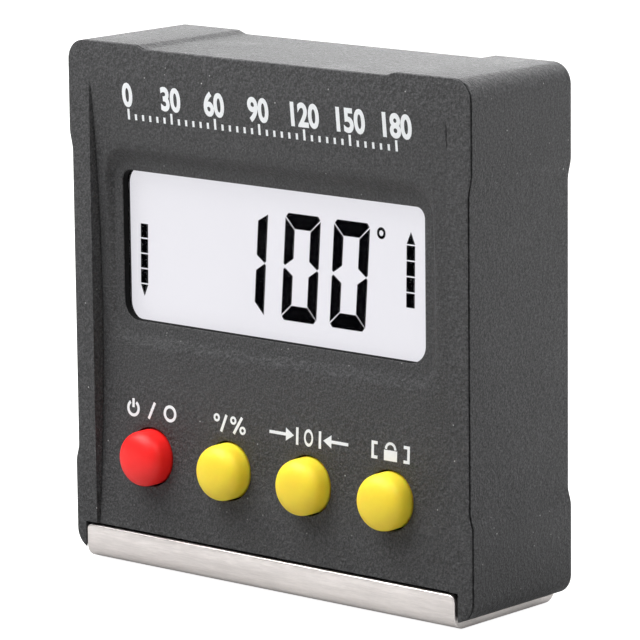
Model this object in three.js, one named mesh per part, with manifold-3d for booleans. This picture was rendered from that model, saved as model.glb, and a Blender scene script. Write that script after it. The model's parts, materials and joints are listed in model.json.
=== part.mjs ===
// A square digital angle gauge: a moulded case with a dished front panel, a recessed display,
// four rubber buttons and a magnetic steel base channel. Millimetres, +Z up, front towards -Y.
// The origin is the centre of the base channel's underside.
import * as THREE from 'three';
import { mergeVertices } from 'three/addons/utils/BufferGeometryUtils.js';
import Module from 'manifold-3d';

const wasm = await Module();
wasm.setup();

// Case outline, seen from the front
const CASE_WIDTH = 60;
const CASE_DEPTH = 17.9;
const CASE_TOP = 61.5;
const CASE_BOTTOM = 1.0;
const CORNER_RADIUS = 2.4;
const WAIST_DEPTH = 0.43;
const SIDE_STEP_HIGH = [48.5, 50.9];
const SIDE_STEP_LOW = [11.5, 13.4];
const TOP_STEP = [18.0, 19.4];
const FRONT = -CASE_DEPTH / 2;
const BACK = CASE_DEPTH / 2;

// Shells
const RIM_FLANGE = 0.15;
const SEAM_WIDTH = 0.3;
const SEAM_DEPTH = 0.5;
const FIT_GAP = 0.1;
const OVERCUT = 1;
const JOIN = 0.2;
const HOUSING_FRONT = FRONT + RIM_FLANGE + SEAM_WIDTH;
const NECK_BACK = HOUSING_FRONT - FIT_GAP;
const SIDE_WALL = 1.6;
const BACK_WALL = 1.6;
const PLUG_INSET = SIDE_WALL + 0.35;
const COVER_BACK = FRONT + 3.15;
const HOUSING_INNER = BACK - BACK_WALL;

// Dished front panel and display pocket
const SCOOP_HALF_WIDTH = 26.8;
const SCOOP_DEPTH = 1.4;
const SCOOP_CENTRE_Z = 29.5;
const SCOOP_HALF_CHORD = 27.5;
const SCOOP_RADIUS = (SCOOP_HALF_CHORD ** 2 + SCOOP_DEPTH ** 2) / (2 * SCOOP_DEPTH);
const POCKET_FLOOR = FRONT + 1.8;
const POCKET = { left: -24.8, right: 24.6, low: 26.1, high: 49.5, radius: 3.2, taper: 0.65 };
const WINDOW = { left: -23.4, right: 22.1, low: 28.95, high: 46.6, radius: 1.9 };
const WINDOW_LIP = 0.8;
const LENS_MARGIN = 1.1;
const LENS_THICKNESS = 0.6;
const LENS_FRONT = POCKET_FLOOR + WINDOW_LIP + FIT_GAP;
const LENS_SIDE_GAP = 0.15;

// Buttons
const BUTTON_PITCH = 12.1;
const BUTTON_ROW_MIDDLE = -0.65;
const BUTTON_X = [-1.5, -0.5, 0.5, 1.5].map((place) => BUTTON_ROW_MIDDLE + place * BUTTON_PITCH);
const BUTTON_NAMES = ['power_button', 'unit_button', 'calibrate_button', 'hold_button'];
const BUTTON_COLOURS = [0xde2e2d, 0xedcf4a, 0xedcf4a, 0xedcf4a];
const BUTTON_Z = 13.2;
const BUTTON_RADIUS = 3.25;
const BUTTON_HOLE_RADIUS = 3.45;
const BUTTON_FRONT = FRONT - 2.1;
const DOME_HEIGHT = 2.05;
const DOME_FULLNESS = 2.7;
const BUTTON_TRAVEL = 0.5;
const FLANGE_RADIUS = 3.9;
const FLANGE_THICKNESS = 0.5;
const FLANGE_FRONT = COVER_BACK + FIT_GAP;
const PLUNGER_RADIUS = 1.5;

// Base channel
const PLATE = { left: -28.45, right: 27.55, thickness: 0.9, cornerRadius: 0.35 };
const LIP_HEIGHT = 4.0;
const BEND_RADIUS = 1.5;
const LIP_RECESS = { left: -28.6, right: 28.0, high: 4.3, depth: 1.05 };

// Circuit board and what it carries
const BOARD = { left: -25.5, right: 25.5, low: 6.5, high: 52.5, front: -2.6, thickness: 1.0 };
const BOARD_BACK = BOARD.front + BOARD.thickness;
const LCD = { left: -24.6, right: 23.6, low: 27.6, high: 47.8, thickness: 1.1 };
const GASKET = { thickness: 0.11, clearance: 0.02, opening: 0.35, edge: LENS_MARGIN - 0.1 };
const LCD_FRONT = LENS_FRONT + LENS_THICKNESS + GASKET.thickness + 2 * GASKET.clearance;
const LCD_BACK = LCD_FRONT + LCD.thickness;
const DIFFUSER_FRONT = LCD_BACK + FIT_GAP;
const DIFFUSER_BACK = BOARD.front - FIT_GAP;
const DIFFUSER_MARGIN = { side: 1, low: 0.6 };
const CONNECTOR = { halfWidth: 21, height: 2, top: LCD.high - 0.6, gap: 0.4 };
const SNAP_DOME = { radius: 2.2, height: 0.35, rim: 0.12, slack: 0.05 };
const SOLDER_GAP = 0.1;
const CONTROLLER = { left: -20, right: -13, low: 41.5, high: 48, height: 1.5 };
const TILT_SENSOR = { left: 17, right: 21, low: 28, high: 32, height: 1.3 };
const CRYSTAL = { left: 15.5, right: 22.5, low: 42.0, high: 44.6, height: 2.2 };
const BUZZER = { x: -19.5, z: 20.5, radius: 3.6, height: 2.4 };

// Screws, posts and magnets
const SCREW_XZ = [[-25, 8.6], [25, 8.6], [-25, 55.6], [25, 55.6]];
const SCREW_NAMES = ['lower_left', 'lower_right', 'upper_left', 'upper_right'];
const BOSS_RADIUS = 2.2;
const BOSS_BACK = 2.2;
const POST_RADIUS = 2.6;
const POST_FRONT = BOSS_BACK + 0.1;
const SCREW_RADIUS = 0.95;
const SCREW_HOLE_RADIUS = 1.25;
const SCREW_HEAD_RADIUS = 1.9;
const SCREW_HEAD_HEIGHT = 1.3;
const SCREW_TIP = -2.8;
const SCREW_SLOT = { halfLength: 1.2, halfWidth: 0.2, floor: 0.6 };
const SCREW_RECESS_RADIUS = 2.15;
const SCREW_RECESS_DEPTH = 4.0;
const SCREW_PILOT = { radius: SCREW_RADIUS + 0.15, front: -3.5 };
const BOARD_SCREW_XZ = [[-12.5, 50.0], [12.5, 50.0]];
const BOARD_SCREW = { radius: 0.7, hole: 0.9, headRadius: 1.4, headHeight: 0.9, reach: 1.3 };
const BOARD_BOSS_GAP = 0.4;
const MAGNET_X = [-18, 0, 18];
const MAGNET_RADIUS = 4;
const MAGNET_HEIGHT = 3;
const MAGNET_POCKET = { gap: 0.25, top: 4.4 };
const MAGNET_Y = 1.6;
const FLOOR = { halfWidth: 24, front: -3.0, low: CASE_BOTTOM + 0.4, top: 5.4 };

// Battery bay in the back
const BAY = { halfWidth: 12.5, low: 16.0, high: 40.0, radius: 1.5 };
const DOOR_THICKNESS = 1.5;
const DOOR_GAP = 0.3;
const DOOR_LEDGE = 1.2;
const CELL_RADIUS = 10;
const CELL_THICKNESS = 3.2;
const CELL_BACK = 5.6;
const CELL_RIM = { width: 0.8, drop: 0.4 };
const BAY_CENTRE_Z = (BAY.low + BAY.high) / 2;
const HOLDER = { wall: 0.8, gap: 0.4, floor: 0.3, drop: 0.6, slotHalfWidth: 3, slotReach: 2 };
const CONTACT = { halfWidth: 2, thickness: 0.25, reach: 4, gap: 0.3, lift: 0.05 };
const DOOR_LATCH = { halfWidth: 3, reach: 2.2, thickness: 0.8, gap: 0.3 };
const DOOR_NOTCH = { radius: 2.4, halfWidth: 4.5, rise: 1.8, drop: 3.2 };
const DOOR_SINK = 0.05;
const BAY_FRAME_THICKNESS = 1.2;

const MAT = { halfHeight: 3.6, holeRadius: 2.6, margin: 5.3, radius: 2, gap: 0.2 };

// How finely curves are faceted
const CURVE_STEPS = 5;
const ROUND_SIDES = 24;
const BUTTON_SIDES = 20;
const SCREW_SIDES = 16;
const CELL_SIDES = 40;
const BEND_STEPS = 10;
const DOME_STEPS = 6;
const SCOOP_STEPS = 18;

const group = new THREE.Group();

/** Adds one named piece with its own material. */
function addPiece(name, geometry, colour, roughness, metalness = 0) {
  const material = new THREE.MeshStandardMaterial({ color: colour, roughness, metalness });
  const mesh = new THREE.Mesh(geometry, material);
  mesh.name = name;
  group.add(mesh);
  return mesh;
}

/** Turns a closed three.js geometry into a solid that can be cut and joined, with its faces out. */
function solid(geometry) {
  const bare = geometry.index ? geometry.toNonIndexed() : geometry.clone();
  bare.deleteAttribute('normal');
  bare.deleteAttribute('uv');
  const merged = mergeVertices(bare, 1e-4);
  const vertProperties = new Float32Array(merged.attributes.position.array);
  const triVerts = new Uint32Array(merged.index.array);
  const made = new wasm.Manifold(new wasm.Mesh({ numProp: 3, vertProperties, triVerts }));
  if (made.volume() >= 0) return made;
  return new wasm.Manifold(new wasm.Mesh({ numProp: 3, vertProperties, triVerts: triVerts.reverse() }));
}

/** Turns a solid back into a three.js geometry. */
function toGeometry(manifold) {
  const mesh = manifold.getMesh();
  const geometry = new THREE.BufferGeometry();
  geometry.setAttribute('position', new THREE.BufferAttribute(new Float32Array(mesh.vertProperties), 3));
  geometry.setIndex(new THREE.BufferAttribute(new Uint32Array(mesh.triVerts), 1));
  geometry.computeVertexNormals();
  return geometry;
}

/** Extrudes an XZ outline from front to back along Y. */
function slab(outline, front, back, steps = CURVE_STEPS) {
  const options = { depth: back - front, bevelEnabled: false, curveSegments: steps };
  const geometry = new THREE.ExtrudeGeometry(outline, options);
  geometry.rotateX(Math.PI / 2);
  geometry.translate(0, back, 0);
  return geometry;
}

/** Cylinder along Y, centred on x, z. */
function rod(x, z, radius, front, back, sides = ROUND_SIDES) {
  const geometry = new THREE.CylinderGeometry(radius, radius, back - front, sides);
  geometry.translate(x, (front + back) / 2, z);
  return geometry;
}

/** Upright disc about the Z axis, from one height to another. */
function disc(radius, low, high) {
  const geometry = new THREE.CylinderGeometry(radius, radius, high - low, ROUND_SIDES);
  geometry.rotateX(Math.PI / 2);
  geometry.translate(0, 0, (low + high) / 2);
  return geometry;
}

/** Box between two corners. */
function block(low, high) {
  const size = high.map((value, axis) => value - low[axis]);
  const geometry = new THREE.BoxGeometry(...size);
  geometry.translate(...low.map((value, axis) => value + size[axis] / 2));
  return geometry;
}

/** Rectangle with round corners; each corner radius shrinks with the inset. */
function roundRect(box, inset = 0, low = box.radius) {
  const [left, right] = [box.left + inset, box.right - inset];
  const [bottom, top] = [box.low + inset, box.high - inset];
  const upper = Math.max(box.radius - inset, 0.3);
  const lower = Math.max(low - inset, 0.3);
  const shape = new THREE.Shape();
  shape.moveTo(left + lower, bottom);
  shape.absarc(right - lower, bottom + lower, lower, -Math.PI / 2, 0);
  shape.absarc(right - upper, top - upper, upper, 0, Math.PI / 2);
  shape.absarc(left + upper, top - upper, upper, Math.PI / 2, Math.PI);
  shape.absarc(left + lower, bottom + lower, lower, Math.PI, Math.PI * 1.5);
  return shape;
}

/** Case outline: round corners, and shallow waists in both sides and the top. */
function caseOutline(inset = 0) {
  const land = CASE_WIDTH / 2 - inset;
  const waist = land - WAIST_DEPTH;
  const top = CASE_TOP - inset;
  const topWaist = top - WAIST_DEPTH;
  const bottom = CASE_BOTTOM + inset;
  const radius = Math.max(CORNER_RADIUS - inset, 0.4);
  const shape = new THREE.Shape();
  shape.moveTo(radius - land, bottom);
  shape.absarc(land - radius, bottom + radius, radius, -Math.PI / 2, 0);
  shape.lineTo(land, SIDE_STEP_LOW[0]);
  shape.lineTo(waist, SIDE_STEP_LOW[1]);
  shape.lineTo(waist, SIDE_STEP_HIGH[0]);
  shape.lineTo(land, SIDE_STEP_HIGH[1]);
  shape.absarc(land - radius, top - radius, radius, 0, Math.PI / 2);
  shape.lineTo(TOP_STEP[1], top);
  shape.lineTo(TOP_STEP[0], topWaist);
  shape.lineTo(-TOP_STEP[0], topWaist);
  shape.lineTo(-TOP_STEP[1], top);
  shape.absarc(radius - land, top - radius, radius, Math.PI / 2, Math.PI);
  shape.lineTo(-land, SIDE_STEP_HIGH[1]);
  shape.lineTo(-waist, SIDE_STEP_HIGH[0]);
  shape.lineTo(-waist, SIDE_STEP_LOW[1]);
  shape.lineTo(-land, SIDE_STEP_LOW[0]);
  shape.absarc(radius - land, bottom + radius, radius, Math.PI, Math.PI * 1.5);
  return shape;
}

/** The cutter that dishes the front panel: a slice of a large cylinder lying along X. */
function scoopCutter() {
  const clear = FRONT - OVERCUT;
  const rise = Math.asin(SCOOP_HALF_CHORD / SCOOP_RADIUS);
  const centreY = FRONT + SCOOP_DEPTH - SCOOP_RADIUS;
  const profile = new THREE.Shape();
  profile.moveTo(clear, SCOOP_CENTRE_Z - SCOOP_HALF_CHORD);
  for (let i = 0; i <= SCOOP_STEPS; i += 1) {
    const angle = -rise + (2 * rise * i) / SCOOP_STEPS;
    profile.lineTo(centreY + SCOOP_RADIUS * Math.cos(angle), SCOOP_CENTRE_Z + SCOOP_RADIUS * Math.sin(angle));
  }
  profile.lineTo(clear, SCOOP_CENTRE_Z + SCOOP_HALF_CHORD);
  const width = 2 * SCOOP_HALF_WIDTH;
  const geometry = new THREE.ExtrudeGeometry(profile, { depth: width, bevelEnabled: false });
  const toAxes = new THREE.Matrix4().set(0, 0, 1, -SCOOP_HALF_WIDTH, 1, 0, 0, 0, 0, 1, 0, 0, 0, 0, 0, 1);
  geometry.applyMatrix4(toAxes);
  return solid(geometry);
}

/** The tapered display pocket, as a lofted rounded rectangle. */
function pocketCutter() {
  const rings = [FRONT - OVERCUT, POCKET_FLOOR].map((y) => [y, POCKET.taper * (y - FRONT)]);
  const outlines = rings.map(([y, inset]) => ({ y, points: pocketPoints(inset) }));
  const count = outlines[0].points.length;
  const vertices = [];
  outlines.forEach(({ y, points }) => points.forEach((p) => vertices.push(p.x, y, p.y)));
  const indices = [];
  for (let i = 0; i < count; i += 1) {
    const next = (i + 1) % count;
    indices.push(i, count + i, next, next, count + i, count + next);
  }
  THREE.ShapeUtils.triangulateShape(outlines[0].points, []).forEach(([a, b, c]) => {
    indices.push(a, b, c, count + a, count + c, count + b);
  });
  const geometry = new THREE.BufferGeometry();
  geometry.setAttribute('position', new THREE.BufferAttribute(new Float32Array(vertices), 3));
  geometry.setIndex(indices);
  return solid(geometry);
}

/** Outline points of the display pocket, moved inwards; the corners keep their point count. */
function pocketPoints(inset) {
  const radius = Math.max(POCKET.radius - inset, 0.3);
  const corners = [
    [POCKET.right - inset - radius, POCKET.low + inset + radius, -Math.PI / 2],
    [POCKET.right - inset - radius, POCKET.high - inset - radius, 0],
    [POCKET.left + inset + radius, POCKET.high - inset - radius, Math.PI / 2],
    [POCKET.left + inset + radius, POCKET.low + inset + radius, Math.PI],
  ];
  return corners.flatMap(([x, z, start]) => Array.from({ length: CURVE_STEPS + 1 }, (_, i) => {
    const angle = start + (i / CURVE_STEPS) * (Math.PI / 2);
    return new THREE.Vector2(x + radius * Math.cos(angle), z + radius * Math.sin(angle));
  }));
}

/** Recess that clears the base channel's lip and bend, at the front (-1) or the back (+1). */
function lipRecess(side) {
  const pocket = (depth, high) => {
    const ends = [side * (BACK + OVERCUT), side * (BACK - depth)].sort((a, b) => a - b);
    return solid(block([LIP_RECESS.left, ends[0], 0], [LIP_RECESS.right, ends[1], high]));
  };
  return pocket(LIP_RECESS.depth, LIP_RECESS.high).add(pocket(BEND_RADIUS, BEND_RADIUS));
}

/** Dished front cover with its display pocket, window, button holes and screw bosses. */
function frontCover() {
  const lensSeat = growBox(WINDOW, LENS_MARGIN + LENS_SIDE_GAP);
  const [ahead, behind] = [FRONT - OVERCUT, COVER_BACK + OVERCUT];
  let cover = solid(slab(caseOutline(), FRONT, FRONT + RIM_FLANGE))
    .add(solid(slab(caseOutline(SEAM_DEPTH), FRONT + RIM_FLANGE / 2, NECK_BACK)))
    .add(solid(slab(caseOutline(PLUG_INSET), FRONT + RIM_FLANGE, COVER_BACK)))
    .subtract(scoopCutter())
    .subtract(pocketCutter())
    .subtract(solid(slab(roundRect(WINDOW), ahead, behind)))
    .subtract(solid(slab(roundRect(lensSeat), LENS_FRONT - FIT_GAP, behind)))
    .subtract(lipRecess(-1));
  BUTTON_X.forEach((x) => {
    cover = cover.subtract(solid(rod(x, BUTTON_Z, BUTTON_HOLE_RADIUS, ahead, behind)));
  });
  SCREW_XZ.forEach(([x, z]) => {
    const boss = solid(rod(x, z, BOSS_RADIUS, COVER_BACK - JOIN, BOSS_BACK));
    const pilot = solid(rod(x, z, SCREW_PILOT.radius, SCREW_PILOT.front, BOSS_BACK + OVERCUT, SCREW_SIDES));
    cover = cover.add(boss).subtract(pilot);
  });
  addPiece('front_cover', toGeometry(cover), 0x4a4a4b, 0.62);
}

/** A box description moved outwards on all sides. */
function growBox(box, margin) {
  return {
    left: box.left - margin,
    right: box.right + margin,
    low: box.low - margin,
    high: box.high + margin,
    radius: box.radius + margin,
  };
}

/** Battery bay outline, moved inwards or outwards. */
function bayOutline(inset) {
  return roundRect({ ...BAY, left: -BAY.halfWidth, right: BAY.halfWidth }, inset);
}

/** Rear housing: four walls and a back, screw posts, a battery bay and magnet pockets in its floor. */
function rearHousing() {
  const inner = caseOutline(SIDE_WALL);
  const [wallJoin, behind] = [HOUSING_INNER + JOIN, BACK + OVERCUT];
  let housing = solid(slab(caseOutline(), HOUSING_FRONT, BACK))
    .subtract(solid(slab(inner, HOUSING_FRONT - OVERCUT, HOUSING_INNER)))
    .add(solid(block([-FLOOR.halfWidth, FLOOR.front, FLOOR.low], [FLOOR.halfWidth, wallJoin, FLOOR.top])));
  SCREW_XZ.forEach(([x, z]) => {
    housing = housing.add(solid(rod(x, z, POST_RADIUS, POST_FRONT, wallJoin)));
  });
  SCREW_XZ.forEach(([x, z]) => {
    housing = housing
      .subtract(solid(rod(x, z, SCREW_HOLE_RADIUS, POST_FRONT - OVERCUT, behind, SCREW_SIDES)))
      .subtract(solid(rod(x, z, SCREW_RECESS_RADIUS, BACK - SCREW_RECESS_DEPTH, behind)));
  });
  MAGNET_X.forEach((x) => {
    const pocket = disc(MAGNET_RADIUS + MAGNET_POCKET.gap, 0, MAGNET_POCKET.top);
    pocket.translate(x, MAGNET_Y, 0);
    housing = housing.subtract(solid(pocket));
  });
  const ledgeBack = BACK - DOOR_THICKNESS - FIT_GAP;
  const latchHalf = DOOR_LATCH.halfWidth + DOOR_LATCH.gap;
  const bayFront = ledgeBack - DOOR_LATCH.reach;
  housing = housing
    .add(solid(slab(bayOutline(-DOOR_LEDGE), ledgeBack - BAY_FRAME_THICKNESS, wallJoin)))
    .subtract(solid(slab(bayOutline(0), ledgeBack, behind)))
    .subtract(solid(slab(bayOutline(DOOR_LEDGE), bayFront, behind)))
    .subtract(solid(block(
      [-latchHalf, bayFront, BAY.high - 2 * DOOR_LEDGE],
      [latchHalf, behind, BAY.high],
    )))
    .subtract(lipRecess(-1))
    .subtract(lipRecess(1));
  addPiece('rear_housing', toGeometry(housing), 0x4a4a4b, 0.62);
}

/** Snap-in battery door with its latch tongue and finger notch. */
function batteryDoor() {
  const doorFront = BACK - DOOR_THICKNESS;
  const tongueTop = BAY.high - DOOR_GAP;
  const tongue = block(
    [-DOOR_LATCH.halfWidth, doorFront - DOOR_LATCH.reach, tongueTop - DOOR_LATCH.thickness],
    [DOOR_LATCH.halfWidth, doorFront + JOIN, tongueTop],
  );
  const { radius, halfWidth, rise, drop } = DOOR_NOTCH;
  const notch = new THREE.CylinderGeometry(radius, radius, 2 * halfWidth, ROUND_SIDES);
  notch.rotateZ(Math.PI / 2);
  notch.translate(0, BACK + rise, BAY.high - drop);
  const door = solid(slab(bayOutline(DOOR_GAP), doorFront, BACK - DOOR_SINK))
    .add(solid(tongue))
    .subtract(solid(notch));
  addPiece('battery_cover', toGeometry(door), 0x474748, 0.6);
}

/** Steel channel: flat base with front and back lips, bent from one strip. */
function baseChannel() {
  const outerY = CASE_DEPTH / 2;
  const innerY = outerY - PLATE.thickness;
  const innerRadius = BEND_RADIUS - PLATE.thickness;
  const profile = new THREE.Shape();
  profile.moveTo(-outerY, LIP_HEIGHT);
  profile.absarc(BEND_RADIUS - outerY, BEND_RADIUS, BEND_RADIUS, Math.PI, Math.PI * 1.5);
  profile.absarc(outerY - BEND_RADIUS, BEND_RADIUS, BEND_RADIUS, -Math.PI / 2, 0);
  profile.lineTo(outerY, LIP_HEIGHT);
  profile.lineTo(innerY, LIP_HEIGHT);
  profile.absarc(outerY - BEND_RADIUS, BEND_RADIUS, innerRadius, 0, -Math.PI / 2, true);
  profile.absarc(BEND_RADIUS - outerY, BEND_RADIUS, innerRadius, -Math.PI / 2, -Math.PI, true);
  profile.lineTo(-innerY, LIP_HEIGHT);
  const options = { depth: PLATE.right - PLATE.left, bevelEnabled: false, curveSegments: BEND_STEPS };
  const geometry = new THREE.ExtrudeGeometry(profile, options);
  geometry.applyMatrix4(new THREE.Matrix4().set(0, 0, 1, PLATE.left, 1, 0, 0, 0, 0, 1, 0, 0, 0, 0, 0, 1));
  const face = { ...PLATE, low: -OVERCUT, high: LIP_HEIGHT, radius: PLATE.cornerRadius };
  const trimmed = solid(geometry).intersect(solid(slab(roundRect(face), FRONT - OVERCUT, BACK + OVERCUT, 4)));
  addPiece('base_channel', toGeometry(trimmed), 0xd9d4d2, 0.32, 0.95);
}

/** Thin black foam gasket between the clear window and the display glass. */
function displayGasket() {
  const ring = roundRect(growBox(WINDOW, GASKET.edge));
  ring.holes.push(roundRect(growBox(WINDOW, GASKET.opening)));
  const front = LENS_FRONT + LENS_THICKNESS + GASKET.clearance;
  addPiece('display_gasket', slab(ring, front, front + GASKET.thickness, 4), 0x101010, 0.9);
}

/** Clear window, glass, diffuser and the rubber strip that connects the glass to the board. */
function displayStack() {
  const lens = roundRect(growBox(WINDOW, LENS_MARGIN));
  addPiece('display_lens', slab(lens, LENS_FRONT, LENS_FRONT + LENS_THICKNESS, 4), 0xf2f4f6, 0.05);
  const glass = block([LCD.left, LCD_FRONT, LCD.low], [LCD.right, LCD_BACK, LCD.high]);
  addPiece('lcd_panel', glass, 0xeeedf3, 0.25);
  const stripLow = CONNECTOR.top - CONNECTOR.height;
  const diffuser = block(
    [LCD.left + DIFFUSER_MARGIN.side, DIFFUSER_FRONT, LCD.low + DIFFUSER_MARGIN.low],
    [LCD.right - DIFFUSER_MARGIN.side, DIFFUSER_BACK, stripLow - CONNECTOR.gap],
  );
  addPiece('lcd_diffuser', diffuser, 0xfafafa, 0.5);
  const strip = block(
    [-CONNECTOR.halfWidth, DIFFUSER_FRONT, stripLow],
    [CONNECTOR.halfWidth, DIFFUSER_BACK, CONNECTOR.top],
  );
  addPiece('lcd_connector', strip, 0x8a8f96, 0.8);
}

/** Circuit board, notched round the corner bosses, with its two screws. */
function circuitBoard() {
  const outline = roundRect({ ...BOARD, radius: 1 });
  const [ahead, behind] = [BOARD.front - OVERCUT, BOARD_BACK + OVERCUT];
  const head = BOARD_BACK + FIT_GAP;
  let board = solid(slab(outline, BOARD.front, BOARD_BACK, 3));
  SCREW_XZ.forEach(([x, z]) => {
    board = board.subtract(solid(rod(x, z, BOSS_RADIUS + BOARD_BOSS_GAP, ahead, behind, BUTTON_SIDES)));
  });
  BOARD_SCREW_XZ.forEach(([x, z]) => {
    board = board.subtract(solid(rod(x, z, BOARD_SCREW.hole, ahead, behind, SCREW_SIDES)));
  });
  addPiece('circuit_board', toGeometry(board), 0x1f5a34, 0.45);
  BOARD_SCREW_XZ.forEach(([x, z], i) => {
    const tip = BOARD.front - BOARD_SCREW.reach;
    const screw = solid(rod(x, z, BOARD_SCREW.radius, tip, head + JOIN, SCREW_SIDES))
      .add(solid(rod(x, z, BOARD_SCREW.headRadius, head, head + BOARD_SCREW.headHeight, BUTTON_SIDES)));
    addPiece(`board_screw_${i === 0 ? 'left' : 'right'}`, toGeometry(screw), 0xb9bbbd, 0.35, 0.9);
  });
}

/** Chips and other parts soldered to the back of the board. */
function boardParts() {
  const back = BOARD_BACK + SOLDER_GAP;
  const onBoard = (part) => block([part.left, back, part.low], [part.right, back + part.height, part.high]);
  addPiece('controller_chip', onBoard(CONTROLLER), 0x161616, 0.5);
  addPiece('tilt_sensor', onBoard(TILT_SENSOR), 0x1c1c1c, 0.45);
  addPiece('crystal', onBoard(CRYSTAL), 0xc4c6c8, 0.25, 0.9);
  addPiece('buzzer', rod(BUZZER.x, BUZZER.z, BUZZER.radius, back, back + BUZZER.height), 0x151515, 0.5);
}

/** Moulded cup on the board that holds the coin cell, with a spring contact over its lower edge. */
function batteryHolder() {
  const inner = CELL_RADIUS + HOLDER.gap;
  const outer = inner + HOLDER.wall;
  const front = BOARD_BACK + SOLDER_GAP;
  const cellFront = CELL_BACK - CELL_THICKNESS;
  const slot = block(
    [-HOLDER.slotHalfWidth, front - OVERCUT, BAY_CENTRE_Z - outer - OVERCUT],
    [HOLDER.slotHalfWidth, BACK, BAY_CENTRE_Z - CELL_RADIUS + HOLDER.slotReach],
  );
  const holder = solid(rod(0, BAY_CENTRE_Z, outer, front, CELL_BACK - HOLDER.drop, CELL_SIDES))
    .subtract(solid(rod(0, BAY_CENTRE_Z, inner, cellFront - HOLDER.floor, BACK, CELL_SIDES)))
    .subtract(solid(slot));
  addPiece('battery_holder', toGeometry(holder), 0x2a2b2d, 0.55);
  const shoulder = CELL_BACK - CELL_RIM.drop;
  const cell = solid(rod(0, BAY_CENTRE_Z, CELL_RADIUS, cellFront, shoulder, CELL_SIDES))
    .add(solid(rod(0, BAY_CENTRE_Z, CELL_RADIUS - CELL_RIM.width, shoulder - JOIN, CELL_BACK, CELL_SIDES)));
  addPiece('coin_cell', toGeometry(cell), 0xcfd0d2, 0.3, 0.95);
  const legLow = BAY_CENTRE_Z - outer - CONTACT.gap - CONTACT.thickness;
  const fingerFront = CELL_BACK + CONTACT.lift;
  const fingerBack = fingerFront + CONTACT.thickness;
  const leg = block(
    [-CONTACT.halfWidth, front, legLow],
    [CONTACT.halfWidth, fingerBack, legLow + CONTACT.thickness],
  );
  const finger = block(
    [-CONTACT.halfWidth, fingerFront, legLow],
    [CONTACT.halfWidth, fingerBack, BAY_CENTRE_Z - CONTACT.reach],
  );
  addPiece('battery_contact', toGeometry(solid(leg).add(solid(finger))), 0xd8d2c4, 0.3, 0.9);
}

/** Rubber button: a domed cap, a flange behind the cover and a plunger that reaches the snap dome. */
function button(name, x, colour) {
  const flangeBack = FLANGE_FRONT + FLANGE_THICKNESS;
  const plungerTip = BOARD.front - SOLDER_GAP - SNAP_DOME.height - BUTTON_TRAVEL - SNAP_DOME.slack;
  const points = [new THREE.Vector2(0, BUTTON_FRONT)];
  for (let i = 1; i <= DOME_STEPS; i += 1) {
    const angle = (i / DOME_STEPS) * (Math.PI / 2);
    points.push(new THREE.Vector2(
      BUTTON_RADIUS * Math.sin(angle) ** (2 / DOME_FULLNESS),
      BUTTON_FRONT + DOME_HEIGHT * (1 - Math.cos(angle) ** (2 / DOME_FULLNESS)),
    ));
  }
  [
    [BUTTON_RADIUS, FLANGE_FRONT],
    [FLANGE_RADIUS, FLANGE_FRONT],
    [FLANGE_RADIUS, flangeBack],
    [PLUNGER_RADIUS, flangeBack],
    [PLUNGER_RADIUS, plungerTip],
    [0, plungerTip],
  ].forEach(([radius, y]) => points.push(new THREE.Vector2(radius, y)));
  const geometry = new THREE.LatheGeometry(points, BUTTON_SIDES);
  geometry.translate(x, 0, BUTTON_Z);
  addPiece(name, toGeometry(solid(geometry)), colour, 0.55);
}

/** Rubber mat with a hole for each plunger, and a snap dome on the board under each button. */
function keypad() {
  const matFront = FLANGE_FRONT + FLANGE_THICKNESS + BUTTON_TRAVEL + MAT.gap;
  const seat = BOARD.front - SOLDER_GAP;
  const outline = roundRect({
    left: BUTTON_X[0] - MAT.margin,
    right: BUTTON_X[BUTTON_X.length - 1] + MAT.margin,
    low: BUTTON_Z - MAT.halfHeight,
    high: BUTTON_Z + MAT.halfHeight,
    radius: MAT.radius,
  });
  BUTTON_X.forEach((x) => {
    const hole = new THREE.Path();
    hole.absarc(x, BUTTON_Z, MAT.holeRadius, 0, Math.PI * 2, true);
    outline.holes.push(hole);
  });
  addPiece('keypad_mat', slab(outline, matFront, seat, 5), 0x2b2c2e, 0.85);
  BUTTON_X.forEach((x, i) => {
    const points = [
      [0, seat - SNAP_DOME.height],
      [SNAP_DOME.radius * 0.55, seat - SNAP_DOME.height * 0.8],
      [SNAP_DOME.radius, seat - SNAP_DOME.rim],
      [SNAP_DOME.radius, seat],
      [0, seat],
    ].map(([radius, y]) => new THREE.Vector2(radius, y));
    const dome = new THREE.LatheGeometry(points, SCREW_SIDES);
    dome.translate(x, 0, BUTTON_Z);
    addPiece(`snap_dome_${i + 1}`, toGeometry(solid(dome)), 0xc9c9c4, 0.3, 0.9);
  });
}

/** Long case screws, driven in from the back. */
function caseScrews() {
  SCREW_XZ.forEach(([x, z], i) => {
    const headFront = BACK - SCREW_RECESS_DEPTH + FIT_GAP / 2;
    const slotFloor = headFront + SCREW_SLOT.floor;
    const slot = (halfX, halfZ) => solid(
      block([x - halfX, slotFloor, z - halfZ], [x + halfX, BACK, z + halfZ]),
    );
    const screw = solid(rod(x, z, SCREW_RADIUS, SCREW_TIP, headFront + JOIN, SCREW_SIDES))
      .add(solid(rod(x, z, SCREW_HEAD_RADIUS, headFront, headFront + SCREW_HEAD_HEIGHT)))
      .subtract(slot(SCREW_SLOT.halfLength, SCREW_SLOT.halfWidth))
      .subtract(slot(SCREW_SLOT.halfWidth, SCREW_SLOT.halfLength));
    addPiece(`case_screw_${SCREW_NAMES[i]}`, toGeometry(screw), 0x8d8f92, 0.35, 0.9);
  });
}

/** Disc magnets that sit in the housing floor, just above the channel. */
function magnets() {
  ['left', 'middle', 'right'].forEach((place, i) => {
    const low = PLATE.thickness + FIT_GAP;
    const magnet = disc(MAGNET_RADIUS, low, low + MAGNET_HEIGHT);
    magnet.translate(MAGNET_X[i], MAGNET_Y, 0);
    addPiece(`magnet_${place}`, magnet, 0xa8abb0, 0.3, 0.95);
  });
}

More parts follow.
